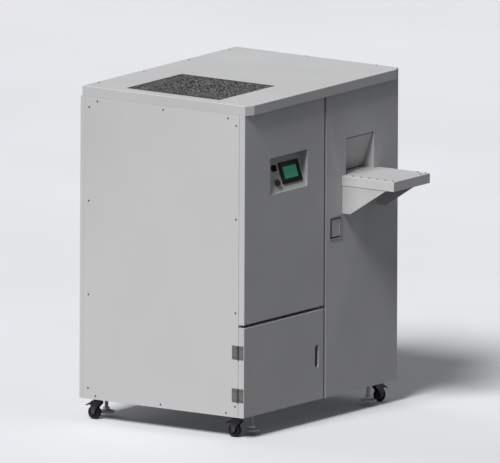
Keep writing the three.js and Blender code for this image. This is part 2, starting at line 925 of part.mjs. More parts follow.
// A sheathed heater that runs to and fro above the boards.
function heaterElement() {
  const { passes, pitch, z } = heater;
  const x0 = chamber.x0 + heater.inset;
  const x1 = chamber.x1 - heater.inset;
  const bend = pitch * 0.4;
  const path = new THREE.CurvePath();
  for (let i = 0; i < passes; i += 1) {
    const y = heater.front + i * pitch;
    const [from, to] = i % 2 ? [x1, x0] : [x0, x1];
    path.add(new THREE.LineCurve3(new THREE.Vector3(from, y, z), new THREE.Vector3(to, y, z)));
    if (i === passes - 1) break;
    const around = to + (i % 2 ? -bend : bend);
    path.add(
      new THREE.CubicBezierCurve3(
        new THREE.Vector3(to, y, z),
        new THREE.Vector3(around, y, z),
        new THREE.Vector3(around, y + pitch, z),
        new THREE.Vector3(to, y + pitch, z),
      ),
    );
  }
  const section = new THREE.Shape().absarc(0, 0, heater.radius, 0, 2 * Math.PI, false);
  const sweep = { steps: 90, curveSegments: 3, bevelEnabled: false, extrudePath: path };
  return solid(new THREE.ExtrudeGeometry(section, sweep));
}

const motor = { top: bodyHeight - 18, canRadius: 52, footHalf: 70, footThickness: 5, boreDepth: 40 };

function blowerMotor() {
  const { x, y } = blower;
  const { footHalf, footThickness } = motor;
  const z0 = chamber.z1 + gap;
  const foot = slab(x - footHalf, x + footHalf, y - footHalf, y + footHalf, z0, z0 + footThickness);
  const can = rod("z", motor.canRadius, z0 + footThickness - 1, motor.top, [x, y], curveSides);
  const bore = rod("z", blower.shaftRadius + 1, z0 - 1, z0 + motor.boreDepth, [x, y]);
  return cut(join(foot, can), bore);
}

// Backplate, hub and shaft with flat blades all round.
function blowerImpeller() {
  const top = chamber.z1 - chamber.wall - 6;
  const bottom = top - blower.wheelHeight;
  const centre = [blower.x, blower.y];
  const { blades, wheelRadius, hubRadius, shaftRadius } = blower;
  const half = blower.bladeThickness / 2;
  const plate = rod("z", wheelRadius, top - blower.plateThickness, top, centre, curveSides);
  const hub = rod("z", hubRadius, bottom, top, centre);
  const shaft = rod("z", shaftRadius, top - 2, chamber.z1 + motor.boreDepth - 4, centre);
  const blade = slab(wheelRadius * 0.45, wheelRadius - 1, -half, half, bottom, top - 2);
  const ring = Array.from({ length: blades }, (_, i) =>
    blade.rotate([0, 0, (360 / blades) * i]).translate([blower.x, blower.y, 0]),
  );
  return join(plate, hub, shaft, ...ring);
}

const fan = {
  x: 256,
  y: 392,
  size: 250,
  height: 60,
  ringRadius: 112,
  hubRadius: 34,
  bearingRadius: 6,
  bearingReach: 30,
  spokeWidth: 8,
  spokeThickness: 5,
  spacer: 18,
  blades: 7,
  bladeWidth: 48,
  bladeThickness: 2.4,
  bladePitch: 28,
};

// The fan hangs from the vent plate on four spacers.
const fanSpacerTop = bodyHeight + coverHeight - 2 * sheet - 2 * gap;
const fanTop = fanSpacerTop - 6;

function fanFrame() {
  const z1 = fanTop;
  const z0 = z1 - fan.height;
  const half = fan.size / 2;
  const centre = [fan.x, fan.y];
  const frame = cut(
    slab(fan.x - half, fan.x + half, fan.y - half, fan.y + half, z0, z1),
    rod("z", fan.ringRadius, z0 - 1, z1 + 1, centre, curveSides),
  );
  const around = (shape, turn) => shape.rotate([0, 0, turn]).translate([fan.x, fan.y, 0]);
  const spokeHalf = fan.spokeWidth / 2;
  const spoke = slab(6 - half, half - 6, -spokeHalf, spokeHalf, z0, z0 + fan.spokeThickness);
  const spokes = [45, 135].map((turn) => around(spoke, turn));
  const seat = rod("z", fan.hubRadius, z0, z0 + 8, centre);
  const bearing = rod("z", fan.bearingRadius, z0 + 7, z0 + fan.bearingReach, centre);
  const spacerX = half + 22;
  const spacerHalf = fan.spacer / 2;
  const spacer = slab(spacerX, spacerX + fan.spacer, -spacerHalf, spacerHalf, z1 - 1, fanSpacerTop);
  const spacers = [45, 135, 225, 315].map((turn) => around(spacer, turn));
  return join(frame, ...spokes, seat, bearing, ...spacers);
}

function fanRotor() {
  const { blades, hubRadius, ringRadius, bladePitch } = fan;
  const z1 = fanTop - 4;
  const z0 = z1 - fan.height + 16;
  const hub = cut(
    rod("z", hubRadius, z0, z1, [0, 0], curveSides),
    rod("z", fan.bearingRadius + 0.5, z0 - 1, z0 + fan.bearingReach, [0, 0]),
  );
  const reach = fan.bladeWidth / 2;
  const half = fan.bladeThickness / 2;
  const blade = slab(hubRadius - 4, ringRadius - 4, -reach, reach, -half, half)
    .rotate([bladePitch, 0, 0])
    .translate([0, 0, (z0 + z1) / 2]);
  const ring = Array.from({ length: blades }, (_, i) => blade.rotate([0, 0, (360 / blades) * i]));
  return join(hub, ...ring).translate([fan.x, fan.y, 0]);
}

const electrics = {
  x0: 60,
  x1: 500,
  y: 560,
  top: 350,
  plateThickness: 3,
  footDepth: 40,
  supply: { x0: 20, x1: 135, z0: 200, z1: 330, depth: 60 },
  drive: { x0: 165, x1: 255, z0: 160, z1: 330, depth: 110 },
  rail: { inset: 20, z0: 95, z1: 130, depth: 8 },
  contactor: { first: 40, pitch: 62, width: 45, z0: 80, z1: 148, depth: 70, count: 5 },
};

// The mounting plate of the electrical bay with its supply, drive and row of contactors.
function electricalPlate() {
  const { x0, x1, y, top, plateThickness, footDepth, supply, drive, rail, contactor } = electrics;
  const z0 = railHeight + gap;
  const back = y + plateThickness;
  const device = (from, to, { z0: bottom, z1: head, depth }) =>
    slab(x0 + from, x0 + to, y - depth, y + 1, bottom, head);
  const pieces = [
    slab(x0, x1, y, back, z0, top),
    slab(x0, x1, y - footDepth, back, z0, z0 + plateThickness),
    device(supply.x0, supply.x1, supply),
    device(drive.x0, drive.x1, drive),
    device(rail.inset, x1 - x0 - rail.inset, rail),
  ];
  for (let i = 0; i < contactor.count; i += 1) {
    const from = contactor.first + i * contactor.pitch;
    pieces.push(device(from, from + contactor.width, contactor));
  }
  return join(...pieces);
}

// ---- Assembly ----

const oven = new THREE.Group();
oven.name = "reflow_oven";
const cabinet = new THREE.Group();
cabinet.position.set(...cabinetOrigin);
oven.add(cabinet);

addPart(cabinet, "base_frame", baseFrame(), painted);
for (const corner of corners) {
  addPart(cabinet, `corner_post_${corner.name}`, cornerPost(corner), painted);
}
addPart(cabinet, "centre_partition", centrePartition(), painted);
addPart(cabinet, "left_side_panel", sidePanel(-1), painted);
addPart(cabinet, "right_side_panel", sidePanel(1), painted);
addPart(cabinet, "rear_panel", rearSkin(), painted);
addPart(cabinet, "power_inlet", powerInlet(), black);
addPart(cabinet, "top_cover", topCover(), painted);
addPart(cabinet, "vent_grille", ventGrille(), painted);
addPart(cabinet, "upper_front_panel", upperFrontPanel(), painted);
addPart(cabinet, "console_box", consoleBox(), painted);
const face = new THREE.Group();
face.applyMatrix4(facePlacement());
cabinet.add(face);
addPart(face, "display_housing", displayHousing(), black);
addPart(face, "display_screen", displayScreen(), { color: 0x2a7658, roughness: 0.2, metalness: 0 });
addPart(face, "selector_switch", selectorSwitch(), black);
addPart(face, "start_button", startButton(), { color: 0x3f4043, roughness: 0.5, metalness: 0 });
addPart(cabinet, "lower_door", lowerDoor(), painted);
addPart(cabinet, "main_door", mainDoor(), painted);
addPart(cabinet, "latch_frame", latchFrame(), steel);
addPart(cabinet, "latch_paddle", latchPaddle(), steel);
addPart(cabinet, "latch_bolt", latchBolt(), steel);
addPart(cabinet, "loading_pocket", loadingPocket(), painted);
addPart(cabinet, "loading_flap", loadingFlap(), painted);
addPart(cabinet, "loading_tray", loadingTray(), painted);
addPart(cabinet, "tray_bracket_left", trayBracket(-1), painted);
addPart(cabinet, "tray_bracket_right", trayBracket(1), painted);
["lower", "upper"].forEach((level, i) => {
  addPart(cabinet, `lower_door_hinge_${level}_fixed`, fixedLeaf(-1, lowerDoorHingeZ[i]), steel);
  addPart(cabinet, `lower_door_hinge_${level}_moving`, movingLeaf(-1, lowerDoorHingeZ[i]), steel);
  addPart(cabinet, `main_door_hinge_${level}_fixed`, fixedLeaf(1, mainDoorHingeZ[i]), steel);
  addPart(cabinet, `main_door_hinge_${level}_moving`, movingLeaf(1, mainDoorHingeZ[i]), steel);
});
addPart(cabinet, "oven_chamber", ovenChamber(), steel);
addPart(cabinet, "board_rack", boardRack(), steel);
addPart(cabinet, "heater_element", heaterElement(), steel);
addPart(cabinet, "blower_motor", blowerMotor(), black);
addPart(cabinet, "blower_impeller", blowerImpeller(), steel);
addPart(cabinet, "fan_frame", fanFrame(), black);
addPart(cabinet, "fan_rotor", fanRotor(), black);
addPart(cabinet, "electrical_plate", electricalPlate(), steel);

for (const corner of corners) {
  const [x, y] = casterPlace(corner);
  const place = new THREE.Group();
  place.position.set(cabinetOrigin[0] + x, cabinetOrigin[1] + y, 0);
  place.rotation.z = THREE.MathUtils.degToRad(corner.trailAngle);
  oven.add(place);
  addPart(place, `caster_${corner.name}_fork`, casterFork(), steel);
  addPart(place, `caster_${corner.name}_wheel`, casterWheel(), black);
  addPart(place, `caster_${corner.name}_pedal`, brakePedal(), black);
  const [footX, footY] = footPlace(corner);
  const foot = addPart(oven, `foot_${corner.name}`, levellingFoot(), steel);
  foot.position.set(cabinetOrigin[0] + footX, cabinetOrigin[1] + footY, 0);
}

export default oven;
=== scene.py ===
import json
import math

import bmesh
import bpy
from mathutils import Matrix, Vector


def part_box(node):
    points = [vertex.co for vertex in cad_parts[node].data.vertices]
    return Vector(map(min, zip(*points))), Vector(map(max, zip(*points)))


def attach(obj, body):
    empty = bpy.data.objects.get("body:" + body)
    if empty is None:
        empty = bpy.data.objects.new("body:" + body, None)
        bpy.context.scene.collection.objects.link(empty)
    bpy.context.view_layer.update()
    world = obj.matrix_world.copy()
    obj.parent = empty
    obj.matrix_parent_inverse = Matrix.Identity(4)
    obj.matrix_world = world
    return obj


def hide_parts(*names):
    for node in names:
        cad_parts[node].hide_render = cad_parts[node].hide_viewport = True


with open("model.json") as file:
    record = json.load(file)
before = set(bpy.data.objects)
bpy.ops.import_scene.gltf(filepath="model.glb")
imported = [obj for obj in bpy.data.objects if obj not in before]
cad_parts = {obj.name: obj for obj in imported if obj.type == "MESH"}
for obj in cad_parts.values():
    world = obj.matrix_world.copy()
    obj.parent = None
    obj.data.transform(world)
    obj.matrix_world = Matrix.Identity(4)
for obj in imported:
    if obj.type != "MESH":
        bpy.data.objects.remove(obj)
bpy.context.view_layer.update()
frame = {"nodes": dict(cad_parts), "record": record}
record = frame["record"]
print("frame loaded with", len(frame["nodes"]), "nodes")

mm = 0.001  # one millimetre in the scene's metres
bodyOf = {node: body for body, nodes in record["behaviour"]["bodies"].items() for node in nodes}
slotOf = {row["node"]: row["material_slot"] for row in record["subparts"]}
jointOf = {joint["name"]: joint for joint in record["behaviour"]["joints"]}
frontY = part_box("main_door")[0][1]
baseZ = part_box("lower_door")[0][2]
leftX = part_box("left_side_panel")[0][0]
cabinetWidth = round((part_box("right_side_panel")[1][0] - leftX) / mm)
cabinetDepth = round((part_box("rear_panel")[1][1] - frontY) / mm)
cabinetHeight = round((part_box("top_cover")[1][2] - baseZ) / mm)
corners = ("front_left", "front_right", "rear_left", "rear_right")


# Materials. Every finish is a principled shader with noise in its colour, roughness and bump.

def shaderTree(name):
    material = bpy.data.materials.new(name)
    material.use_nodes = True
    tree = material.node_tree
    return material, tree, tree.nodes["Principled BSDF"]


def addNode(tree, kind, **settings):
    node = tree.nodes.new(kind)
    for key, value in settings.items():
        if key in node.inputs:
            node.inputs[key].default_value = value
        else:
            setattr(node, key, value)
    return node


def objectCoords(tree, stretch=(1, 1, 1)):
    coords = addNode(tree, "ShaderNodeTexCoord")
    mapping = addNode(tree, "ShaderNodeMapping", Scale=stretch)
    tree.links.new(coords.outputs["Object"], mapping.inputs["Vector"])
    return mapping.outputs["Vector"]


def noise(tree, coords, scale, detail=3.0, roughness=0.55):
    node = addNode(tree, "ShaderNodeTexNoise", Scale=scale, Detail=detail, Roughness=roughness)
    tree.links.new(coords, node.inputs["Vector"])
    return node.outputs["Fac"]


def spread(tree, value, low, high, fromLow=0.3, fromHigh=0.7):
    node = addNode(tree, "ShaderNodeMapRange")
    node.inputs["From Min"].default_value = fromLow
    node.inputs["From Max"].default_value = fromHigh
    node.inputs["To Min"].default_value = low
    node.inputs["To Max"].default_value = high
    tree.links.new(value, node.inputs["Value"])
    return node.outputs["Result"]


def blendColours(tree, factor, first, second, mode="MIX"):
    node = addNode(tree, "ShaderNodeMix", data_type="RGBA", blend_type=mode)
    if hasattr(factor, "links"):
        tree.links.new(factor, node.inputs["Factor"])
    else:
        node.inputs["Factor"].default_value = factor
    for socket, colour in ((node.inputs["A"], first), (node.inputs["B"], second)):
        if hasattr(colour, "links"):
            tree.links.new(colour, socket)
        else:
            socket.default_value = (*colour, 1)
    return node.outputs["Result"]


def addBump(tree, shader, height, depth):
    bump = addNode(tree, "ShaderNodeBump", Distance=depth, Strength=1.0)
    tree.links.new(height, bump.inputs["Height"])
    tree.links.new(bump.outputs["Normal"], shader.inputs["Normal"])


# A finish from its dictionary: two shades in soft patches and a fine grain, with specks and worn
# edges where the dictionary has them
def finish(name, look):
    material, tree, shader = shaderTree(name)
    coords = objectCoords(tree, look.get("stretch", (1, 1, 1)))
    patches = spread(tree, noise(tree, coords, look["patchScale"]), 0, 1)
    colour = blendColours(tree, patches, look["dark"], look["light"])
    if "speck" in look:
        specks = spread(tree, noise(tree, coords, look["speckScale"], 2.0), 0, 1, 0.62, 0.72)
        colour = blendColours(tree, specks, colour, look["speck"])
    if "worn" in look:
        geometry = addNode(tree, "ShaderNodeNewGeometry")
        edges = spread(tree, geometry.outputs["Pointiness"], 0, look["wornShare"], 0.53, 0.62)
        colour = blendColours(tree, edges, colour, look["worn"])
    tree.links.new(colour, shader.inputs["Base Color"])
    gloss = spread(tree, noise(tree, coords, look["patchScale"] * 3), *look["roughness"])
    tree.links.new(gloss, shader.inputs["Roughness"])
    addBump(tree, shader, noise(tree, coords, look["grainScale"], 2.0), look["grainDepth"])
    shader.inputs["Metallic"].default_value = look.get("metallic", 0.0)
    shader.inputs["Specular IOR Level"].default_value = look.get("specular", 0.5)
    shader.inputs["Coat Weight"].default_value = look.get("coat", 0.0)
    shader.inputs["Coat Roughness"].default_value = 0.15
    return material


powderCoatLook = {
    "dark": (0.430, 0.431, 0.433), "light": (0.468, 0.469, 0.470), "patchScale": 2.2,
    "worn": (0.54, 0.54, 0.54), "wornShare": 0.5,
    "roughness": (0.5, 0.62), "grainScale": 850.0, "grainDepth": 0.00006, "specular": 0.3,
}
hingeLook = {
    "dark": (0.020, 0.020, 0.021), "light": (0.036, 0.036, 0.037), "patchScale": 25.0,
    "worn": (0.3, 0.3, 0.3), "wornShare": 0.8,
    "roughness": (0.35, 0.5), "grainScale": 1500.0, "grainDepth": 0.00003,
}
zincLook = {
    "dark": (0.40, 0.41, 0.42), "light": (0.54, 0.55, 0.55), "patchScale": 30.0,
    "speck": (0.32, 0.31, 0.29), "speckScale": 160.0,
    "roughness": (0.35, 0.5), "grainScale": 900.0, "grainDepth": 0.00002, "metallic": 0.35,
}
blackPlasticLook = {
    "dark": (0.004, 0.004, 0.0045), "light": (0.009, 0.009, 0.0095), "patchScale": 20.0,
    "roughness": (0.45, 0.6), "grainScale": 1400.0, "grainDepth": 0.00004, "specular": 0.25,
}
buttonLook = {
    "dark": (0.014, 0.014, 0.015), "light": (0.022, 0.022, 0.024), "patchScale": 40.0,
    "roughness": (0.3, 0.42), "grainScale": 1200.0, "grainDepth": 0.00001, "specular": 0.35,
}
tyreLook = {
    "dark": (0.004, 0.004, 0.004), "light": (0.009, 0.009, 0.0085), "patchScale": 40.0,
    "speck": (0.022, 0.021, 0.019), "speckScale": 220.0,
    "roughness": (0.6, 0.8), "grainScale": 900.0, "grainDepth": 0.0001, "specular": 0.25,
}
latchLook = {
    "dark": (0.20, 0.20, 0.203), "light": (0.25, 0.25, 0.253), "patchScale": 25.0,
    "worn": (0.4, 0.4, 0.4), "wornShare": 0.7,
    "roughness": (0.4, 0.55), "grainScale": 1200.0, "grainDepth": 0.00003,
}
stainlessLook = {
    "dark": (0.42, 0.42, 0.41), "light": (0.55, 0.55, 0.54), "patchScale": 8.0, "stretch": (1, 1, 9),
    "roughness": (0.24, 0.42), "grainScale": 500.0, "grainDepth": 0.00003, "metallic": 0.95,
}
motorLook = {
    "dark": (0.035, 0.05, 0.065), "light": (0.05, 0.068, 0.085), "patchScale": 18.0,
    "worn": (0.25, 0.25, 0.25), "wornShare": 0.6,
    "roughness": (0.3, 0.45), "grainScale": 700.0, "grainDepth": 0.00008, "coat": 0.2,
}
aluminiumLook = {
    "dark": (0.55, 0.55, 0.56), "light": (0.66, 0.66, 0.67), "patchScale": 10.0, "stretch": (1, 1, 7),
    "roughness": (0.3, 0.45), "grainScale": 600.0, "grainDepth": 0.00002, "metallic": 0.9,
}
casterSteelLook = {
    "dark": (0.012, 0.012, 0.0125), "light": (0.024, 0.024, 0.025), "patchScale": 40.0,
    "worn": (0.22, 0.22, 0.22), "wornShare": 0.6,
    "roughness": (0.4, 0.55), "grainScale": 1100.0, "grainDepth": 0.00003, "specular": 0.35,
}
paddleLook = {
    "dark": (0.36, 0.36, 0.363), "light": (0.43, 0.43, 0.433), "patchScale": 25.0,
    "roughness": (0.4, 0.5), "grainScale": 1200.0, "grainDepth": 0.00003,
}
heaterLook = {
    "dark": (0.10, 0.085, 0.075), "light": (0.20, 0.17, 0.15), "patchScale": 30.0,
    "speck": (0.30, 0.22, 0.16), "speckScale": 90.0,
    "roughness": (0.4, 0.6), "grainScale": 900.0, "grainDepth": 0.00004, "metallic": 0.7,
}
coverPlasticLook = {
    "dark": (0.52, 0.53, 0.52), "light": (0.60, 0.61, 0.60), "patchScale": 15.0,
    "roughness": (0.4, 0.5), "grainScale": 1100.0, "grainDepth": 0.00003,
}
screenLook = {
    "green": (0.025, 0.19, 0.105), "deep": (0.021, 0.165, 0.090), "line": (0.05, 0.26, 0.16),
    "lineScale": 1100.0, "lineShare": 0.12, "glow": 0.42,
}


def screenGlass(look):
    material, tree, shader = shaderTree("screen glass")
    coords = objectCoords(tree)
    bands = addNode(tree, "ShaderNodeTexWave", bands_direction="Z", Scale=look["lineScale"])
    tree.links.new(coords, bands.inputs["Vector"])
    patches = spread(tree, noise(tree, coords, 14.0), 0, 1)
    base = blendColours(tree, patches, look["deep"], look["green"])
    lines = spread(tree, bands.outputs["Fac"], 0, look["lineShare"], 0, 1)
    colour = blendColours(tree, lines, base, look["line"])
    tree.links.new(colour, shader.inputs["Base Color"])
    tree.links.new(colour, shader.inputs["Emission Color"])
    shader.inputs["Emission Strength"].default_value = look["glow"]
    gloss = spread(tree, noise(tree, coords, 90.0), 0.12, 0.2)
    tree.links.new(gloss, shader.inputs["Roughness"])
    addBump(tree, shader, noise(tree, coords, 300.0), 0.000004)
    return material


# Perforated plate: the paint stays on its faces, and the punched hole walls are black, painted shade inside
# the holes
def piercedPaintWithPaintedHoleShade(look):
    material, tree, shader = shaderTree("pierced plate")
    coords = objectCoords(tree)
    # Near-black blotches about one hole apart on the grey paint: painted shade standing in for the dark holes
    patches = spread(tree, noise(tree, coords, look["patchScale"], 1.0), 0, 1, 0.47, 0.57)
    paint = blendColours(tree, patches, look["dark"], look["light"])
    # Faces that do not lie flat on the plate, the hole walls, take the black edge colour: painted shade
    # inside the holes
    geometry = addNode(tree, "ShaderNodeNewGeometry")
    axes = addNode(tree, "ShaderNodeSeparateXYZ")
    tree.links.new(geometry.outputs["Normal"], axes.inputs[0])
    flat = addNode(tree, "ShaderNodeMath", operation="ABSOLUTE")
    tree.links.new(axes.outputs["Z"], flat.inputs[0])
    face = spread(tree, flat.outputs[0], 0, 1, 0.4, 0.6)
    tree.links.new(blendColours(tree, face, look["edge"], paint), shader.inputs["Base Color"])
    gloss = spread(tree, noise(tree, coords, look["patchScale"] * 4), *look["roughness"])
    tree.links.new(gloss, shader.inputs["Roughness"])
    addBump(tree, shader, noise(tree, coords, 900.0), 0.00004)
    return material


ventPaintAndHoleShadeLook = {
    # dark: painted hole shade in blotches; light: the grey paint; edge: painted shade on the hole walls
    "dark": (0.01, 0.01, 0.01), "light": (0.36, 0.36, 0.36), "edge": (0.008, 0.008, 0.008),
    "patchScale": 120.0, "roughness": (0.5, 0.65),
}
materialOf = {
    "cabinet_paint": finish("powder coat", powderCoatLook),
    "hinge_steel": finish("black hinge", hingeLook),
    "zinc_steel": finish("zinc plate", zincLook),
    "black_plastic": finish("black plastic", blackPlasticLook),
    "button_plastic": finish("button plastic", buttonLook),
    "wheel_rubber": finish("tyre rubber", tyreLook),
    "pedal_plastic": finish("pedal plastic", blackPlasticLook),
    "latch_metal": finish("latch metal", latchLook),
    "stainless": finish("brushed stainless", stainlessLook),
    "motor_enamel": finish("motor enamel", motorLook),
    "plate_aluminium": finish("plate aluminium", aluminiumLook),
    "screen_green": screenGlass(screenLook),
}
heaterMaterial = finish("heater sheath", heaterLook)
palePlastic = finish("pale plastic", coverPlasticLook)
print("materials made")


# Mesh helpers

def meshObject(name, bm, material, smoothAngle=32):
    bmesh.ops.recalc_face_normals(bm, faces=bm.faces)
    mesh = bpy.data.meshes.new(name)
    bm.to_mesh(mesh)
    bm.free()
    mesh.shade_smooth()
    mesh.set_sharp_from_angle(angle=math.radians(smoothAngle))
    mesh.materials.append(material)
    piece = bpy.data.objects.new(name, mesh)
    bpy.context.scene.collection.objects.link(piece)
    return piece


# Bakes the modifiers into a plain mesh
def applied(piece):
    bpy.context.view_layer.update()
    evaluated = piece.evaluated_get(bpy.context.evaluated_depsgraph_get())
    mesh = bpy.data.meshes.new_from_object(evaluated)
    mesh.name = piece.name
    piece.modifiers.clear()
    piece.data = mesh
    return piece


def bevelled(piece, width, segments=2, angle=30):
    bevel = piece.modifiers.new("soft edges", "BEVEL")
    bevel.width = width
    bevel.segments = segments
    bevel.limit_method = "ANGLE"
    bevel.angle_limit = math.radians(angle)
    bevel.harden_normals = True
    return applied(piece)


def standsFor(piece, node):
    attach(piece, bodyOf[node])
    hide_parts(node)
    return piece


def ridesWith(piece, node):
    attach(piece, bodyOf[node])
    return piece


# A frame node's shape with its loose triangles merged and its folds and edges rounded. The
# outline of its skin, which faces along one axis, gets the wider fold.
def roundedNode(node, width, fold=None, margin=0.02):
    bm = bmesh.new()
    bm.from_mesh(frame["nodes"][node].data)
    bmesh.ops.remove_doubles(bm, verts=bm.verts, dist=2e-6)
    bmesh.ops.dissolve_limit(bm, angle_limit=math.radians(0.5), verts=bm.verts, edges=bm.edges)
    low, high = (Vector(corner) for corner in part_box(node))
    weights = bm.edges.layers.float.new("bevel_weight_edge")
    widest = fold[2] if fold else width
    for edge in bm.edges:
        if len(edge.link_faces) != 2 or edge.calc_face_angle(0) < math.radians(20):
            continue
        edge[weights] = width / widest
        if fold and onOutline(edge, fold[0], (low, high)[fold[1]][fold[0]], low, high, margin):
            edge[weights] = 1
    piece = meshObject(node + "_sheet", bm, materialOf[slotOf[node]])
    bevel = piece.modifiers.new("soft edges", "BEVEL")
    bevel.width = widest
    bevel.segments = 3
    bevel.limit_method = "WEIGHT"
    bevel.harden_normals = True
    return standsFor(applied(piece), node)


def onOutline(edge, axis, level, low, high, margin):
    for vert in edge.verts:
        if abs(vert.co[axis] - level) > 1e-5:
            return False
        others = [k for k in range(3) if k != axis]
        if min(min(vert.co[k] - low[k], high[k] - vert.co[k]) for k in others) > margin:
            return False
    return True


def addBox(bm, low, high, matrix=Matrix()):
    size = Vector(high) - Vector(low)
    middle = (Vector(high) + Vector(low)) / 2
    place = matrix @ Matrix.Translation(middle) @ Matrix.Diagonal((*size, 1))
    return bmesh.ops.create_cube(bm, size=1, matrix=place)["verts"]


# Joins each outline of points to the next. The row of outlines is capped, or closed into a ring.
def addLoops(bm, loops, matrix=Matrix(), ring=False):
    rows = [[bm.verts.new(matrix @ Vector(point)) for point in loop] for loop in loops]
    pairs = list(zip(rows, rows[1:]))
    if ring:
        pairs.append((rows[-1], rows[0]))
    for lower, upper in pairs:
        if len(lower) == len(upper) == 1:
            continue
        for i in range(max(len(lower), len(upper))):
            j = i + 1
            around = [lower[i % len(lower)], lower[j % len(lower)]]
            around += [upper[j % len(upper)], upper[i % len(upper)]]
            bm.faces.new(list(dict.fromkeys(around)))
    if not ring:
        for row in (rows[0], rows[-1]):
            if len(row) > 2:
                bm.faces.new(row)


def circle(radius, height, sides):
    if radius == 0:
        return [(0, 0, height)]
    angles = [2 * math.pi * i / sides for i in range(sides)]
    return [(radius * math.cos(a), radius * math.sin(a), height) for a in angles]


# Turns a profile of (radius, height) about Z
def addLathe(bm, profile, sides, matrix=Matrix(), ring=False):
    addLoops(bm, [circle(radius, height, sides) for radius, height in profile], matrix, ring)


# The profile of a solid round. A rim is a chamfer of (inward, along).
def drum(radius, low, high, lowRim=(0, 0), highRim=(0, 0)):
    points = [(0, low), (radius - lowRim[0], low), (radius, low + lowRim[1])]
    points += [(radius, high - highRim[1]), (radius - highRim[0], high), (0, high)]
    return list(dict.fromkeys(points))


# Pushes a flat outline of (a, b) points along the third axis of the matrix
def addPushed(bm, outline, low, high, matrix=Matrix()):
    addLoops(bm, [[(a, b, level) for a, b in outline] for level in (low, high)], matrix)


def roundedRect(width, height, radius, level, steps=5):
    points = []
    for turn, (sideX, sideY) in enumerate(((1, 1), (-1, 1), (-1, -1), (1, -1))):
        for step in range(steps + 1):
            angle = math.radians(90 * (turn + step / steps))
            points.append((
                sideX * (width / 2 - radius) + radius * math.cos(angle),
                sideY * (height / 2 - radius) + radius * math.sin(angle),
                level,
            ))
    return points


# Rounded rectangles from rows of (width, height, corner radius, level)
def roundedRects(*rows):
    return [roundedRect(*row) for row in rows]


def moved(x, y, z):
    return Matrix.Translation((x, y, z))


def turned(degrees, axis):
    return Matrix.Rotation(math.radians(degrees), 4, axis)


# Millimetre frames: the cabinet's own, from the front, left, lower corner of its body, and the
# console's sloping face, whose Z points out of the face and whose Y runs up it
inMillimetres = Matrix.Diagonal((mm, mm, mm, 1))
cabinetSpace = moved(leftX, frontY, baseZ) @ inMillimetres
slopeMiddle = (0, 30, 957)
consoleSlope = math.degrees(math.asin(jointOf["selector_turn"]["axis"][2]))
faceSpace = cabinetSpace @ moved(*slopeMiddle) @ turned(90 - consoleSlope, "X")


def nodeMiddle(node):
    low, high = (Vector(v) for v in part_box(node))
    return (low + high) / 2, low, high


# A millimetre frame in the middle of a node's underside, and the node's height in it
def undersideOf(node):
    middle, low, high = nodeMiddle(node)
    return moved(middle.x, middle.y, low.z) @ inMillimetres, (high.z - low.z) / mm


# Sheet metal. All folded panels keep the frame's own shapes, with rounded folds.

front, rear, up = (1, 0), (1, 1), (2, 1)  # an axis, and the low or the high end of it
sheetLook = {"edge": 0.5 * mm, "fold": 2.6 * mm, "frameFold": 1.2 * mm, "coverMargin": 45 * mm}
plainSheets = (
    "left_side_panel", "right_side_panel", "tray_bracket_left", "tray_bracket_right", "base_frame",
    "centre_partition", "console_box", "loading_pocket", "loading_flap", "latch_bolt",
)


def makeSheetMetal(look):
    skins = {"lower_door": front, "main_door": front, "upper_front_panel": front, "rear_panel": rear}
    for node, (axis, end) in skins.items():
        roundedNode(node, look["edge"], (axis, end, look["fold"]))
    roundedNode("top_cover", look["edge"], (*up, look["fold"]), look["coverMargin"])
    roundedNode("loading_tray", look["edge"], (*up, look["fold"]))
    for node in plainSheets:
        roundedNode(node, look["edge"])
    for corner in corners:
        roundedNode("corner_post_" + corner, look["frameFold"])


makeSheetMetal(sheetLook)
print("sheet metal done")


# Casters, each made in a frame on the floor under its swivel, with Y along its trail

casterLook = {
    "wheelRadius": 27, "wheelWidth": 18, "treadRound": 3.5, "hubRadius": 17, "trail": 16, "legThickness": 3,
    "axleRadius": 4, "axleReach": 14, "nutRadius": 7.5, "crown": (69, 75), "headRadius": 20, "headBottom": 73,
    "mountTop": 88.7, "stemRadius": 6, "stemRise": 16,
    "pedalRibs": 4, "firstRib": (39, 63.2), "ribStep": (3.4, -2.05),
}


def casterSpace(corner):
    swivel = jointOf["caster_" + corner + "_turn"]["pos_m"]
    across = Vector(jointOf["caster_" + corner + "_roll"]["axis"]).normalized()
    along = Vector((0, 0, 1)).cross(across)
    turn = Matrix((across, along, (0, 0, 1))).transposed().to_4x4()
    return moved(swivel[0], swivel[1], 0) @ turn @ inMillimetres


def arc(centreA, centreB, radius, start, end, steps):
    angles = [math.radians(start + (end - start) * i / steps) for i in range(steps + 1)]
    return [(centreA + radius * math.cos(a), centreB + radius * math.sin(a)) for a in angles]


# Maps an outline in (along, up) onto a push across the caster
acrossPush = Matrix(((0, 0, 1, 0), (1, 0, 0, 0), (0, 1, 0, 0), (0, 0, 0, 1)))


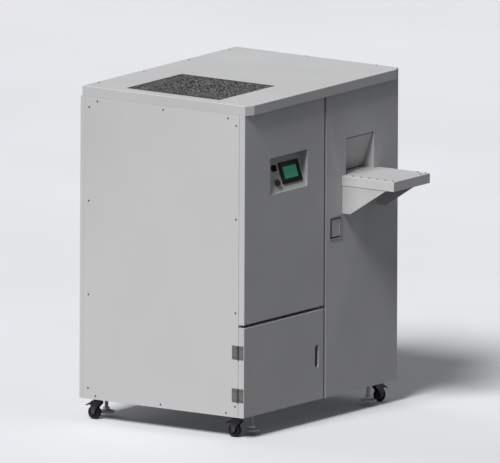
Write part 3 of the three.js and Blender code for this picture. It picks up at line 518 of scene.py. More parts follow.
def makeFork(corner, look, space):
    bm = bmesh.new()
    trail, axleHeight = look["trail"], look["wheelRadius"]
    inner = look["wheelWidth"] / 2 + 1
    outline = arc(trail, axleHeight, 8.5, 200, 350, 8)
    outline += [(30, 58), (29, 66)] + arc(20, 66, 9, 20, 90, 4) + arc(-12, 69, 6, 90, 180, 4) + [(-18, 64)]
    outline += [(-13, 60), (2, 44)]
    for x in (-inner - look["legThickness"], inner):
        addPushed(bm, outline, x, x + look["legThickness"], space @ acrossPush)
    crownLow, crownTop = look["crown"]
    addBox(bm, (-inner - 1, -17, crownLow), (inner + 1, 21, crownTop), space)
    radius, bottom, top = look["headRadius"], look["headBottom"], look["mountTop"]
    head = [(0, 0), (radius - 3, 0), (radius, 2), (radius, 4.5), (radius - 2, 5.5), (radius - 2, 7),
            (radius, 8), (radius, 11), (radius - 3, 13), (12, top - bottom), (0, top - bottom)]
    addLathe(bm, head, 40, space @ moved(0, 0, bottom))
    addLathe(bm, drum(look["stemRadius"], top - 1, top + look["stemRise"], highRim=(1.5, 2)), 24, space)
    for turn in (90, -90):
        side = space @ moved(0, trail, axleHeight) @ turned(turn, "Y")
        addLathe(bm, drum(look["nutRadius"], 8, 16.8, highRim=(1, 0.8)), 6, side)
    reach = look["axleReach"]
    axle = space @ moved(0, trail, axleHeight) @ turned(90, "Y")
    addLathe(bm, drum(look["axleRadius"], -reach, reach), 20, axle)
    fork = meshObject("caster_" + corner + "_fork_pressed", bm, casterSteel)
    standsFor(bevelled(fork, 0.9 * mm, 2, 35), "caster_" + corner + "_fork")


def makeWheel(corner, look, space):
    node = "caster_" + corner + "_wheel"
    place = space @ moved(0, look["trail"], look["wheelRadius"]) @ turned(90, "Y")
    half, radius = look["wheelWidth"] / 2, look["wheelRadius"]
    hub, edge = look["hubRadius"], look["treadRound"]
    upper = arc(radius - edge, half - edge * 0.7, edge, 0, 80, 6)
    upper += [(radius - 6, half - 0.2), (hub + 1, half - 1.4), (hub, half - 2)]
    bm = bmesh.new()
    addLathe(bm, [(r, -h) for r, h in reversed(upper)] + upper, 72, place, ring=True)
    standsFor(meshObject(node + "_tyre", bm, materialOf["wheel_rubber"], 50), node)
    bm = bmesh.new()
    bore = look["axleRadius"] + 0.4
    side = [(hub, 4), (hub - 1, half - 1.2), (hub - 3, half - 1.2), (hub - 4, 4.5)]
    side += [(9.5, 4.5), (8.5, half), (bore, half)]
    addLathe(bm, [(r, -h) for r, h in reversed(side)] + side, 60, place, ring=True)
    ridesWith(meshObject(node + "_hub", bm, materialOf["pedal_plastic"]), node)


def makePedal(corner, look, space):
    node = "caster_" + corner + "_pedal"
    halfWidth = look["wheelWidth"] / 2 + 0.7
    bm = bmesh.new()
    outline = arc(22, 61, 4.5, 120, 250, 6) + [(36, 57), (52, 51.5)] + arc(52.5, 53.5, 2, -60, 60, 4)
    outline += [(44, 60), (36, 64.5)]
    addPushed(bm, outline, -halfWidth, halfWidth, space @ acrossPush)
    for rib in range(look["pedalRibs"]):
        reach, level = (first + rib * step for first, step in zip(look["firstRib"], look["ribStep"]))
        addBox(bm, (-halfWidth + 2, reach - 0.7, level - 2), (halfWidth - 2, reach + 0.7, level + 0.9), space)
    standsFor(bevelled(meshObject(node + "_lever", bm, materialOf["pedal_plastic"]), 0.5 * mm), node)


casterSteel = finish("caster steel", casterSteelLook)
for corner in corners:
    place = casterSpace(corner)
    makeFork(corner, casterLook, place)
    makeWheel(corner, casterLook, place)
    makePedal(corner, casterLook, place)
print("casters done")


# Levelling feet: a domed pad on a rubber ring, a hex collar and a threaded stem

footLook = {
    "padRadius": 34, "padBottom": 16, "collar": 13.5, "stemRadius": 8, "pitch": 2.5, "threadDepth": 0.9,
}


# Heights are from the underside of the pad
def makeFoot(corner, look):
    node = "foot_" + corner
    middle, _, high = nodeMiddle(node)
    space = moved(middle.x, middle.y, look["padBottom"] * mm) @ inMillimetres
    radius, stem, pitch = look["padRadius"], look["stemRadius"], look["pitch"]
    top = high.z / mm - look["padBottom"]
    bm = bmesh.new()
    dome = [(0, 2), (radius - 1.2, 2), (radius, 3), (radius, 5.4), (radius - 1.5, 7), (radius - 8, 9)]
    addLathe(bm, dome + [(20, 10.2), (16.5, 12), (0, 12)], 56, space)
    addLathe(bm, drum(look["collar"], 11, 22, highRim=(1.5, 1)), 6, space)
    thread = [(0, 20), (stem - 1, 20)]
    for turn in range(int((top - 24) / pitch)):
        level = 22 + turn * pitch
        thread.append((stem - look["threadDepth"], level))
        thread += [(stem, level + pitch * 0.4), (stem, level + pitch * 0.55)]
    addLathe(bm, thread + [(stem - 1, top), (0, top)], 24, space)
    standsFor(meshObject(node + "_metal", bm, footSteel, 25), node)
    bm = bmesh.new()
    addLathe(bm, drum(radius - 1.8, 0, 2.2, lowRim=(0.6, 0.6)), 56, space)
    ridesWith(meshObject(node + "_rubber", bm, materialOf["wheel_rubber"]), node)


footSteel = finish("foot steel", zincLook)
for corner in corners:
    makeFoot(corner, footLook)
print("feet done")


# Hinges: pressed leaves with rolled knuckles on a headed pin

hingeSizes = {
    "height": 54, "fixedReach": 28, "movingReach": 24, "thickness": 3, "gap": 0.3, "axisY": 27.5,
    "knuckle": 4, "pin": 2, "clear": 5,
}


# The height of a leaf's face outside the cabinet, on the side that is -1 at the left and 1 at the right
def besideCabinet(side, height):
    return -height if side < 0 else cabinetWidth + height


# A leaf lies in (y, z) against the cabinet's side, and its knuckles fill the middle or the end thirds
def makeLeaf(node, side, z, moving, sizes):
    face = besideCabinet(side, sizes["gap"])
    outer = face + side * sizes["thickness"]
    axisX, axisY, clear = face + side * sizes["knuckle"], sizes["axisY"], sizes["clear"]
    half, inner = sizes["height"] / 2, sizes["height"] / 6
    bm = bmesh.new()

    def plate(y0, y1, z0, z1):
        addBox(bm, (min(face, outer), y0, z + z0), (max(face, outer), y1, z + z1), cabinetSpace)

    def knuckle(z0, z1, radius, rim):
        profile = drum(radius, z0, z1, (rim, rim), (rim, rim))
        addLathe(bm, profile, 28, cabinetSpace @ moved(axisX, axisY, z))

    if moving:
        reach = inner - 0.3
        plate(axisY - 1 - sizes["movingReach"], axisY - clear, -half, half)
        plate(axisY - clear - 1, axisY - 1, -reach, reach)
        knuckle(-reach, reach, sizes["knuckle"], 0.4)
    else:
        plate(axisY + clear, axisY + 1 + sizes["fixedReach"], -half, half)
        for ends in ((-half, -inner - 0.3), (inner + 0.3, half)):
            plate(axisY + 1, axisY + clear + 1, *ends)
            knuckle(*ends, sizes["knuckle"], 0.4)
        knuckle(-half - 1, half + 1, sizes["pin"] + 0.6, 0.5)
    standsFor(bevelled(meshObject(node + "_leaf", bm, materialOf["hinge_steel"]), 0.5 * mm), node)


def hingePlaces():
    for level in ("lower", "upper"):
        for door, side in (("lower_door", -1), ("main_door", 1)):
            name = door + "_hinge_" + level
            low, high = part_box(name + "_fixed")
            yield name, side, ((low[2] + high[2]) / 2 - baseZ) / mm, door


for name, side, z, door in hingePlaces():
    makeLeaf(name + "_fixed", side, z, False, hingeSizes)
    makeLeaf(name + "_moving", side, z, True, hingeSizes)
print("hinges done")


# Console: display, selector and button on the sloping face

displayLook = {
    "x": 356, "up": -8, "width": 136, "height": 89, "corner": 5, "proud": 5, "window": (92, 49),
    "body": (120, 74, 34), "chamfer": 2.2, "screenSink": 1.4, "screenThickness": 3,
}
knobLook = {
    "x": 250, "selectorUp": 20, "buttonUp": -40, "capRadius": 14, "shankRadius": 11.2, "shankDepth": 22,
}


def makeDisplay(look):
    space = faceSpace @ moved(look["x"], look["up"], 0)
    bm = bmesh.new()
    width, height, corner = look["width"], look["height"], look["corner"]
    windowWidth, windowHeight = look["window"]
    chamfer, proud = look["chamfer"], look["proud"]
    sunk = proud - look["screenSink"]
    addLoops(bm, roundedRects(
        (width, height, corner, 0.3), (width, height, corner, proud - 1),
        (width - 2, height - 2, corner - 1, proud),
        (windowWidth + 2 * chamfer, windowHeight + 2 * chamfer, 1.5, proud),
        (windowWidth, windowHeight, 0.8, sunk), (windowWidth, windowHeight, 0.8, 0.3),
    ), space, ring=True)
    bodyWidth, bodyHeight, bodyDepth = look["body"]
    addBox(bm, (-bodyWidth / 2, -bodyHeight / 2, -bodyDepth), (bodyWidth / 2, bodyHeight / 2, 0.5), space)
    standsFor(meshObject("display_bezel", bm, materialOf["black_plastic"]), "display_housing")
    bm = bmesh.new()
    top = sunk + 0.2
    addLoops(bm, roundedRects(
        (windowWidth - 0.6, windowHeight - 0.6, 0.6, top - look["screenThickness"]),
        (windowWidth - 0.6, windowHeight - 0.6, 0.6, top - 0.3),
        (windowWidth - 1.2, windowHeight - 1.2, 0.5, top),
    ), space)
    standsFor(meshObject("display_glass", bm, materialOf["screen_green"]), "display_screen")


def makeControls(look):
    radius, shank, depth = look["capRadius"], look["shankRadius"], look["shankDepth"]
    stalk = [(0, -depth), (shank - 1, -depth), (shank, 1 - depth)]
    space = faceSpace @ moved(look["x"], look["selectorUp"], 0)
    bm = bmesh.new()
    skirt = [(shank, 0.3), (radius, 0.3), (radius, 3.6), (radius - 1.2, 5), (0, 5)]
    addLathe(bm, stalk + skirt, 48, space)
    addLoops(bm, roundedRects((9, 26, 4, 4.5), (8, 26, 3.8, 12), (7, 25, 3.4, 16), (5, 23, 2.4, 17)), space)
    standsFor(meshObject("selector_knob", bm, materialOf["black_plastic"], 40), "selector_switch")
    bm = bmesh.new()
    cap = [(shank, 5), (radius, 5.3), (radius, 9.4), (radius - 1, 10.6), (radius - 2.4, 11)]
    cap += [(radius - 3.2, 10.4), (0, 10.1)]
    addLathe(bm, stalk + cap, 56, faceSpace @ moved(look["x"], look["buttonUp"], 0))
    standsFor(meshObject("button_cap", bm, materialOf["button_plastic"]), "start_button")


makeDisplay(displayLook)
makeControls(knobLook)
print("console done")


# Latch: a dished frame and the paddle in it

latchSizes = {
    "width": 89, "height": 99, "rim": 7, "wall": 2, "corner": 4, "proud": 2, "cup": 20,
    "paddle": (56, 71, 4), "paddleFront": 1, "barrel": 3,
}


def makeLatch(sizes):
    middle = (nodeMiddle("latch_frame")[0] - Vector((leftX, frontY, baseZ))) / mm
    outward = cabinetSpace @ moved(middle.x, 0, middle.z) @ turned(90, "X")
    width, height, rim, wall = sizes["width"], sizes["height"], sizes["rim"], sizes["wall"]
    corner, proud = sizes["corner"], sizes["proud"]
    inner = (width - 2 * (rim + wall), height - 2 * (rim + wall))
    bm = bmesh.new()
    addLoops(bm, roundedRects(
        (width, height, corner, 0.3), (width, height, corner, proud - 0.7),
        (width - 1.4, height - 1.4, corner - 0.6, proud), (inner[0] + 2, inner[1] + 2, 3, proud),
        (*inner, 2, proud - 1.2), (*inner, 2, 0.3),
    ), outward, ring=True)
    standsFor(meshObject("latch_rim", bm, materialOf["latch_metal"]), "latch_frame")
    # The cup behind the paddle is black, painted shade that darkens the finger well
    outer = (width - 2 * rim, height - 2 * rim)
    bm = bmesh.new()
    addLoops(bm, roundedRects(
        (*outer, 3, -sizes["cup"]), (*outer, 3, 0.25), (*inner, 2, 0.25), (*inner, 2, wall - sizes["cup"]),
    ), outward)
    ridesWith(meshObject("latch_cup", bm, materialOf["black_plastic"]), "latch_frame")
    pivotX = (jointOf["paddle_pull"]["pos_m"][0] - leftX) / mm
    paddleWidth, paddleHeight, thickness = sizes["paddle"]
    space = cabinetSpace @ moved(pivotX - paddleWidth / 2, 0, middle.z) @ turned(90, "X")
    front = -sizes["paddleFront"]
    bm = bmesh.new()
    addLoops(bm, roundedRects(
        (paddleWidth, paddleHeight, 2, front - thickness), (paddleWidth, paddleHeight, 2, front - 0.6),
        (paddleWidth - 1.2, paddleHeight - 1.2, 1.6, front), (paddleWidth - 7, paddleHeight - 7, 1.4, front),
        (paddleWidth - 8.4, paddleHeight - 8.4, 1.2, front - 0.9),
    ), space)
    barrel = drum(sizes["barrel"], -paddleHeight / 2, paddleHeight / 2)
    addLathe(bm, barrel, 20, cabinetSpace @ moved(pivotX, sizes["barrel"], middle.z))
    standsFor(meshObject("latch_paddle_plate", bm, paddleMetal), "latch_paddle")


slotSizes = {"x": 513, "z": 178, "width": 26.4, "height": 93.4, "wall": 1.2, "front": 0.6, "depth": 11}


# The drawn edge of the lower door's finger slot
def makeSlotEdge(sizes):
    outward = cabinetSpace @ moved(sizes["x"], 0, sizes["z"]) @ turned(90, "X")
    loops = []
    front, depth = -sizes["front"], -sizes["depth"]
    for inset, level in ((0, front), (0, depth), (2, depth), (2, front)):
        width = sizes["width"] - inset * sizes["wall"]
        height = sizes["height"] - inset * sizes["wall"]
        loops.append(roundedRect(width, height, width / 2 - 0.01, level, 8))
    bm = bmesh.new()
    addLoops(bm, loops, outward, ring=True)
    ridesWith(meshObject("finger_slot_edge", bm, materialOf["cabinet_paint"]), "lower_door")


makeSlotEdge(slotSizes)
paddleMetal = finish("paddle metal", paddleLook)
makeLatch(latchSizes)
print("latch done")


# Repeated shapes come from geometry node trees, which are applied to plain meshes.


def nodeTree(name, inputs):
    tree = bpy.data.node_groups.new(name, "GeometryNodeTree")
    for label, kind, default in inputs:
        socket = tree.interface.new_socket(label, in_out="INPUT", socket_type=kind)
        if default is not None:
            socket.default_value = default
    tree.interface.new_socket("Geometry", in_out="OUTPUT", socket_type="NodeSocketGeometry")
    return tree, tree.nodes.new("NodeGroupInput"), tree.nodes.new("NodeGroupOutput")


def runTree(piece, tree, values):
    modifier = piece.modifiers.new(tree.name, "NODES")
    modifier.node_group = tree
    sockets = {item.name: item.identifier for item in tree.interface.items_tree if item.in_out == "INPUT"}
    for label, value in values.items():
        modifier[sockets[label]] = value
    return applied(piece)


# Each row joins the output of one node to the input of another
def joinSockets(tree, rows):
    for source, output, target, socket in rows:
        tree.links.new(source.outputs[output], target.inputs[socket])


# Puts the shape on every point, turned to the point's "facing" and scaled by its "size"
def scatterTree():
    tree, given, result = nodeTree("fasteners", [
        ("Points", "NodeSocketGeometry", None), ("Shape", "NodeSocketObject", None),
        ("Scale", "NodeSocketFloat", 1.0), ("Turn Seed", "NodeSocketInt", 7),
        ("Finish", "NodeSocketMaterial", None)])
    shape = addNode(tree, "GeometryNodeObjectInfo", transform_space="ORIGINAL")
    instances = addNode(tree, "GeometryNodeInstanceOnPoints")
    facing = addNode(tree, "GeometryNodeInputNamedAttribute", data_type="FLOAT_VECTOR", Name="facing")
    size = addNode(tree, "GeometryNodeInputNamedAttribute", data_type="FLOAT", Name="size")
    align = addNode(tree, "FunctionNodeAlignRotationToVector", axis="Z")
    turn = addNode(tree, "FunctionNodeRandomValue", data_type="FLOAT")
    turn.inputs[3].default_value = 2 * math.pi  # up to a full turn
    angles = addNode(tree, "ShaderNodeCombineXYZ")
    rotate = addNode(tree, "FunctionNodeRotateRotation", rotation_space="LOCAL")
    scale = addNode(tree, "ShaderNodeMath", operation="MULTIPLY")
    realize = addNode(tree, "GeometryNodeRealizeInstances")
    paint = addNode(tree, "GeometryNodeSetMaterial")
    joinSockets(tree, (
        (given, "Shape", shape, "Object"), (given, "Points", instances, "Points"),
        (shape, "Geometry", instances, "Instance"), (facing, 0, align, "Vector"),
        (given, "Turn Seed", turn, "Seed"), (turn, 1, angles, "Z"),
        (align, "Rotation", rotate, "Rotation"), (angles, 0, rotate, "Rotate By"),
        (rotate, "Rotation", instances, "Rotation"), (size, 0, scale, 0), (given, "Scale", scale, 1),
        (scale, 0, instances, "Scale"), (instances, "Instances", realize, "Geometry"),
        (realize, "Geometry", paint, "Geometry"), (given, "Finish", paint, "Material"),
        (paint, "Geometry", result, "Geometry"),
    ))
    return tree


# A button head with a hexagonal recess, one unit in radius, that stands on z = 0
def makeButtonHead():
    bm = bmesh.new()

    def hexagon(radius, height):
        points = circle(radius, height, 12)
        flats = [1 if k % 2 else 0.87 for k in range(12)]
        return [(x * flat, y * flat, z) for flat, (x, y, z) in zip(flats, points)]

    loops = [circle(1, -0.1, 12), circle(1, 0.18, 12), circle(0.8, 0.42, 12), circle(0.62, 0.46, 12)]
    loops += [hexagon(0.42, 0.44), hexagon(0.40, 0.12)]
    addLoops(bm, loops)
    return meshObject("button_head", bm, materialOf["hinge_steel"], 40)


screwLook = {
    "radius": 4.2, "hingeRadius": 2.6, "trayRadius": 5.5, "seed": 7, "edge": 15, "topRow": 1214,
    "topSpots": (82, 398, 718), "baseSpots": (86, 405, 722), "columns": (758, 42),
    "levels": (45, 425, 806, 1187),
    "coverRow": 771, "coverSpots": (86, 401, 716, 1000), "coverColumn": 1064, "coverSideSpots": (98, 440),
    "rearSpots": (280, 538, 796), "movingSpots": (8, 16), "fixedSpots": (41, 50), "hingeRise": 18,
    "trayLeft": 694, "trayRight": 925, "trayFront": -240, "trayPitch": 38.5, "trayTop": 888,
}


def sideScrews(look):
    places = []
    for x, facing in ((0, (-1, 0, 0)), (cabinetWidth, (1, 0, 0))):
        spots = [(y, look["topRow"]) for y in look["topSpots"]]
        spots += [(y, look["edge"]) for y in look["baseSpots"]]
        spots += [(y, z) for z in look["levels"] for y in look["columns"]]
        places += [((x, y, z), facing, look["radius"]) for y, z in spots]
    return places


def coverAndRearScrews(look):
    spots = [(x, look["coverRow"]) for x in look["coverSpots"]]
    spots += [(look["coverColumn"], y) for y in look["coverSideSpots"]]
    places = [((x, y, cabinetHeight), (0, 0, 1), look["radius"]) for x, y in spots]
    spots = [(x, z) for x in (look["edge"], cabinetWidth - look["edge"]) for z in look["levels"]]
    spots += [(x, z) for x in look["rearSpots"] for z in (look["edge"], look["topRow"])]
    return places + [((x, cabinetDepth, z), (0, 1, 0), look["radius"]) for x, z in spots]


def hingeScrews(look, moving, door):
    places = []
    for name, side, z, owner in hingePlaces():
        if door not in (None, owner):
            continue
        x = besideCabinet(side, hingeSizes["gap"] + hingeSizes["thickness"])
        for y in look["movingSpots" if moving else "fixedSpots"]:
            for rise in (-look["hingeRise"], look["hingeRise"]):
                places.append(((x, y, z + rise), (side, 0, 0), look["hingeRadius"]))
    return places


# Six along the tray's left edge, two along its right and one beside the right front corner
def trayScrews(look):
    left, right, front, pitch = look["trayLeft"], look["trayRight"], look["trayFront"], look["trayPitch"]
    spots = [(left, front + pitch * k) for k in range(6)] + [(right, front + pitch * k) for k in range(2)]
    spots.append((right - pitch, front))
    return [((x, y, look["trayTop"]), (0, 0, 1), look["trayRadius"]) for x, y in spots]


def makeScrews(name, places, node, tree, head):
    mesh = bpy.data.meshes.new(name)
    mesh.from_pydata([cabinetSpace @ Vector(spot) for spot, facing, radius in places], [], [])
    mesh.attributes.new("facing", "FLOAT_VECTOR", "POINT")
    mesh.attributes.new("size", "FLOAT", "POINT")
    for k, (spot, direction, radius) in enumerate(places):
        mesh.attributes["facing"].data[k].vector = direction
        mesh.attributes["size"].data[k].value = radius * mm
    points = bpy.data.objects.new(name, mesh)
    bpy.context.scene.collection.objects.link(points)
    runTree(points, tree, {
        "Shape": head, "Scale": 1.0, "Turn Seed": screwLook["seed"], "Finish": materialOf["hinge_steel"]})
    ridesWith(points, node)


def makeAllScrews(look):
    tree = scatterTree()
    head = makeButtonHead()
    cabinetScrews = sideScrews(look) + coverAndRearScrews(look) + hingeScrews(look, False, None)
    makeScrews("cabinet_screws", cabinetScrews, "left_side_panel", tree, head)
    makeScrews("lower_door_screws", hingeScrews(look, True, "lower_door"), "lower_door", tree, head)
    mainDoorScrews = hingeScrews(look, True, "main_door") + trayScrews(look)
    makeScrews("main_door_screws", mainDoorScrews, "main_door", tree, head)
    bpy.data.objects.remove(head)


makeAllScrews(screwLook)
print("screws done")


# Vent plate: one pierced cell is repeated over the field, thickened and closed

ventLook = {"columns": 38, "rows": 43, "hole": 0.45, "thickness": 1.2, "lip": 12}


def ventTree():
    tree, given, result = nodeTree("perforated plate", [
        ("Geometry", "NodeSocketGeometry", None), ("Cell", "NodeSocketObject", None),
        ("Width", "NodeSocketFloat", 0.4), ("Depth", "NodeSocketFloat", 0.4),
        ("Columns", "NodeSocketInt", 40), ("Rows", "NodeSocketInt", 40),
        ("Thickness", "NodeSocketFloat", 0.002), ("Finish", "NodeSocketMaterial", None)])
    link = tree.links.new

    def maths(operation, *sources):
        node = addNode(tree, "ShaderNodeMath", operation=operation)
        for k, source in enumerate(sources):
            link(source, node.inputs[k])
        return node.outputs[0]

    grid = addNode(tree, "GeometryNodeMeshGrid")
    scale = addNode(tree, "ShaderNodeCombineXYZ", Z=1.0)
    for axis, size, count in (("X", "Width", "Columns"), ("Y", "Depth", "Rows")):
        pitch = maths("DIVIDE", given.outputs[size], given.outputs[count])
        link(pitch, scale.inputs[axis])
        link(maths("SUBTRACT", given.outputs[size], pitch), grid.inputs["Size " + axis])
        link(given.outputs[count], grid.inputs["Vertices " + axis])
    cell = addNode(tree, "GeometryNodeObjectInfo", transform_space="ORIGINAL")
    instances = addNode(tree, "GeometryNodeInstanceOnPoints")
    realize = addNode(tree, "GeometryNodeRealizeInstances")
    weld = addNode(tree, "GeometryNodeMergeByDistance", Distance=0.00005)
    push = addNode(tree, "GeometryNodeExtrudeMesh", mode="FACES", Individual=False)
    down = addNode(tree, "ShaderNodeCombineXYZ", Z=-1.0)
    both = addNode(tree, "GeometryNodeJoinGeometry")
    close = addNode(tree, "GeometryNodeMergeByDistance", Distance=0.00005)
    paint = addNode(tree, "GeometryNodeSetMaterial")
    joinSockets(tree, (
        (given, "Cell", cell, "Object"), (grid, "Mesh", instances, "Points"),
        (cell, "Geometry", instances, "Instance"), (scale, 0, instances, "Scale"),
        (instances, "Instances", realize, "Geometry"), (realize, "Geometry", weld, "Geometry"),
        (weld, "Geometry", push, "Mesh"), (down, 0, push, "Offset"),
        (given, "Thickness", push, "Offset Scale"), (push, "Mesh", both, "Geometry"),
        (weld, "Geometry", both, "Geometry"),
        (both, "Geometry", close, "Geometry"), (close, "Geometry", paint, "Geometry"),
        (given, "Finish", paint, "Material"), (paint, "Geometry", result, "Geometry"),
    ))
    return tree


# A unit square with an eight-sided hole
def makeCell(hole):
    bm = bmesh.new()
    sides = ((1, 0), (1, 1), (0, 1), (-1, 1), (-1, 0), (-1, -1), (0, -1), (1, -1))
    rim = [bm.verts.new((x / 2, y / 2, 0)) for x, y in sides]
    edge = [bm.verts.new(point) for point in circle(hole, 0, 8)]
    for i in range(8):
        j = (i + 1) % 8
        bm.faces.new((edge[i], rim[i], rim[j], edge[j]))
    mesh = bpy.data.meshes.new("vent_cell")
    bm.to_mesh(mesh)
    bm.free()
    cell = bpy.data.objects.new("vent_cell", mesh)
    bpy.context.scene.collection.objects.link(cell)
    return cell


def makeVent(look):
    middle, low, high = nodeMiddle("vent_grille")
    lip, thickness, overlap = look["lip"] * mm, look["thickness"] * mm, 0.1 * mm
    width, depth = high.x - low.x, high.y - low.y
    field = (width - 2 * lip, depth - 2 * lip)
    cell = makeCell(look["hole"])
    plate = bpy.data.objects.new("vent_field", bpy.data.meshes.new("vent_field"))
    bpy.context.scene.collection.objects.link(plate)
    runTree(plate, ventTree(), {
        "Cell": cell, "Width": field[0], "Depth": field[1], "Columns": look["columns"], "Rows": look["rows"],
        "Thickness": thickness, "Finish": piercedPaintWithPaintedHoleShade(ventPaintAndHoleShadeLook)})
    bpy.data.objects.remove(cell)
    bm = bmesh.new()
    bm.from_mesh(plate.data)
    bmesh.ops.translate(bm, verts=bm.verts, vec=(middle.x, middle.y, high.z))
    bmesh.ops.recalc_face_normals(bm, faces=bm.faces)
    bm.to_mesh(plate.data)
    bm.free()
    plate.data.shade_flat()
    standsFor(plate, "vent_grille")
    inner = (field[0] - 2 * overlap, field[1] - 2 * overlap)
    bm = bmesh.new()
    addLoops(bm, roundedRects(
        (width, depth, 4 * mm, -thickness), (width, depth, 4 * mm, 0),
        (*inner, 0.1 * mm, 0), (*inner, 0.1 * mm, -thickness),
    ), moved(middle.x, middle.y, high.z), ring=True)
    ridesWith(meshObject("vent_lip", bm, materialOf["cabinet_paint"]), "vent_grille")


makeVent(ventLook)
print("vent done")


# Fan and blower

fanLook = {
    "ringRadius": 112, "flare": 3, "spacer": 6, "spacerReach": 31, "spoke": (8, 5), "hubRadius": 34,
    "pin": (6, 30), "bore": (6.5, 30), "bladeCount": 7, "bladeTip": 108, "bladeChord": 60,
    "bladeThickness": 2.2, "pitch": 32, "camber": 5,
}
blowerLook = {
    "wheelRadius": 90, "wheelHeight": 34, "blades": 16, "bladeStart": 40, "bladeLean": 38,
    "shaft": 6, "hub": 14, "canRadius": 52, "finCount": 11, "finDepth": 6, "foot": (140, 5), "boltReach": 82,
}


# A square housing round a bell-mouthed ring, with two crossed spokes, a motor seat and four spacers
def makeFanFrame(look):
    _, low, high = nodeMiddle("fan_frame")
    space, wholeHeight = undersideOf("fan_frame")
    size, spacer = (high.x - low.x) / mm, look["spacer"]
    height = wholeHeight - spacer
    ring, flare = look["ringRadius"], look["flare"]
    loops = [roundedRect(size, size, 8, level, 8) for level in (0, height)]
    for reach, level in ((ring + flare, height), (ring, height - flare), (ring, flare), (ring + flare, 0)):
        loops.append(roundedRect(2 * reach, 2 * reach, reach - 0.2, level, 8))
    bm = bmesh.new()
    addLoops(bm, loops, space, ring=True)
    reach, (spokeWidth, spokeHeight) = size / 2 - 6, look["spoke"]
    for turn in (45, 135):
        across = space @ turned(turn, "Z")
        addBox(bm, (-reach, -spokeWidth / 2, 0), (reach, spokeWidth / 2, spokeHeight), across)
    addLathe(bm, drum(look["hubRadius"], 0, 8, (1, 1), (1, 1)), 48, space)
    pinRadius, pinTop = look["pin"]
    addLathe(bm, drum(pinRadius, 7, pinTop), 24, space)
    for turn in range(4):
        corner = space @ turned(45 + 90 * turn, "Z") @ moved(size / 2 + look["spacerReach"], 0, height)
        addLathe(bm, drum(9, -1, spacer), 24, corner)
    standsFor(meshObject("fan_housing", bm, materialOf["black_plastic"]), "fan_frame")


def makeFan(look):
    makeFanFrame(look)
    space, height = undersideOf("fan_rotor")
    bm = bmesh.new()
    hub, tip = look["hubRadius"], look["bladeTip"]
    bore, boreDepth = look["bore"]
    profile = [(bore, 0), (hub - 2, 0), (hub, 2), (hub, height - 4), (hub - 4, height - 0.5), (10, height)]
    addLathe(bm, profile + [(0, height), (0, boreDepth), (bore, boreDepth)], 48, space, ring=True)
    for blade in range(look["bladeCount"]):
        around = space @ turned(360 / look["bladeCount"] * blade, "Z") @ moved(0, 0, height / 2)
        sections = []
        for step in range(7):
            reach = hub - 3 + (tip - hub + 3) * step / 6
            chord = look["bladeChord"] * (0.62 + 0.38 * step / 6)
            twist = turned(look["pitch"] * (1.25 - 0.5 * step / 6), "X")
            line = [(0, chord * (k / 6 - 0.5), look["camber"] * (1 - (k / 3 - 1) ** 2)) for k in range(7)]
            half = look["bladeThickness"] / 2
            outline = [(0, y, z + half * (1 - (2 * y / chord) ** 4)) for _, y, z in line]
            outline += [(0, y, z - half) for _, y, z in reversed(line)]
            sections.append([moved(reach, 0, 0) @ twist @ Vector(point) for point in outline])
        addLoops(bm, sections, around)
    standsFor(meshObject("fan_wheel", bm, materialOf["black_plastic"], 40), "fan_rotor")


def makeBlower(look):
    space, reach = undersideOf("blower_impeller")
    radius, top, shaft = look["wheelRadius"], look["wheelHeight"], look["shaft"]
    bm = bmesh.new()
    addLathe(bm, drum(radius, top - 3, top, (1, 1), (1, 1)), 72, space)
    addLathe(bm, drum(look["hub"], 0, top - 2, lowRim=(1, 1)), 32, space)
    addLathe(bm, drum(shaft, top - 1, reach, highRim=(1, 1)), 28, space)
    for blade in range(look["blades"]):
        around = space @ turned(360 / look["blades"] * blade, "Z")
        path = []
        for step in range(6):
            start = look["bladeStart"]
            distance = start + (radius - 1.5 - start) * step / 5
            angle = math.radians(-look["bladeLean"] * (step / 5) ** 1.4)
            path.append((distance * math.cos(angle), distance * math.sin(angle)))
        outline = path + [(x * 0.999 + 0.9, y + 1.7) for x, y in reversed(path)]
        addPushed(bm, outline, 0.5, top - 2.5, around)
    standsFor(meshObject("blower_wheel", bm, materialOf["stainless"]), "blower_impeller")


def makeBlowerMotor(look):
    space, height = undersideOf("blower_motor")
    can, bore, valley = look["canRadius"], look["shaft"] + 1, look["canRadius"] - look["finDepth"]
    bm = bmesh.new()
    profile = [(bore, 4), (can - 4, 4), (can, 7), (can, 14)]
    pitch = (height - 34) / look["finCount"]
    for fin in range(look["finCount"]):
        level = 15 + pitch * fin
        profile += [(valley, level), (valley, level + pitch * 0.45)]
        profile += [(can, level + pitch * 0.5), (can, level + pitch * 0.9)]
    profile += [(can - 1, height - 14), (can - 6, height - 3), (can - 12, height), (0, height)]
    profile += [(0, 40), (bore, 40)]
    addLathe(bm, profile, 64, space, ring=True)
    footWidth, footThickness = look["foot"]
    foot = [roundedRect(footWidth, footWidth, 10, level) for level in (0, footThickness)]
    hole = [circle(bore, level, 24) for level in (footThickness, 0)]
    addLoops(bm, foot + hole, space, ring=True)
    for turn in range(4):
        bolt = space @ turned(45 + 90 * turn, "Z") @ moved(look["boltReach"], 0, 0)
        addLathe(bm, drum(6, 4, 9.2, highRim=(1, 0.7)), 6, bolt)
    standsFor(meshObject("blower_can", bm, materialOf["motor_enamel"], 30), "blower_motor")


makeFan(fanLook)
makeBlower(blowerLook)
makeBlowerMotor(blowerLook)
print("fan and blower done")


# Oven chamber, heater and rack

heaterSizes = {"passes": 6, "pitch": 58, "radius": 4, "bendSteps": 10}
rackLook = {"wire": 3, "crossWires": 17, "crossShare": 0.7}


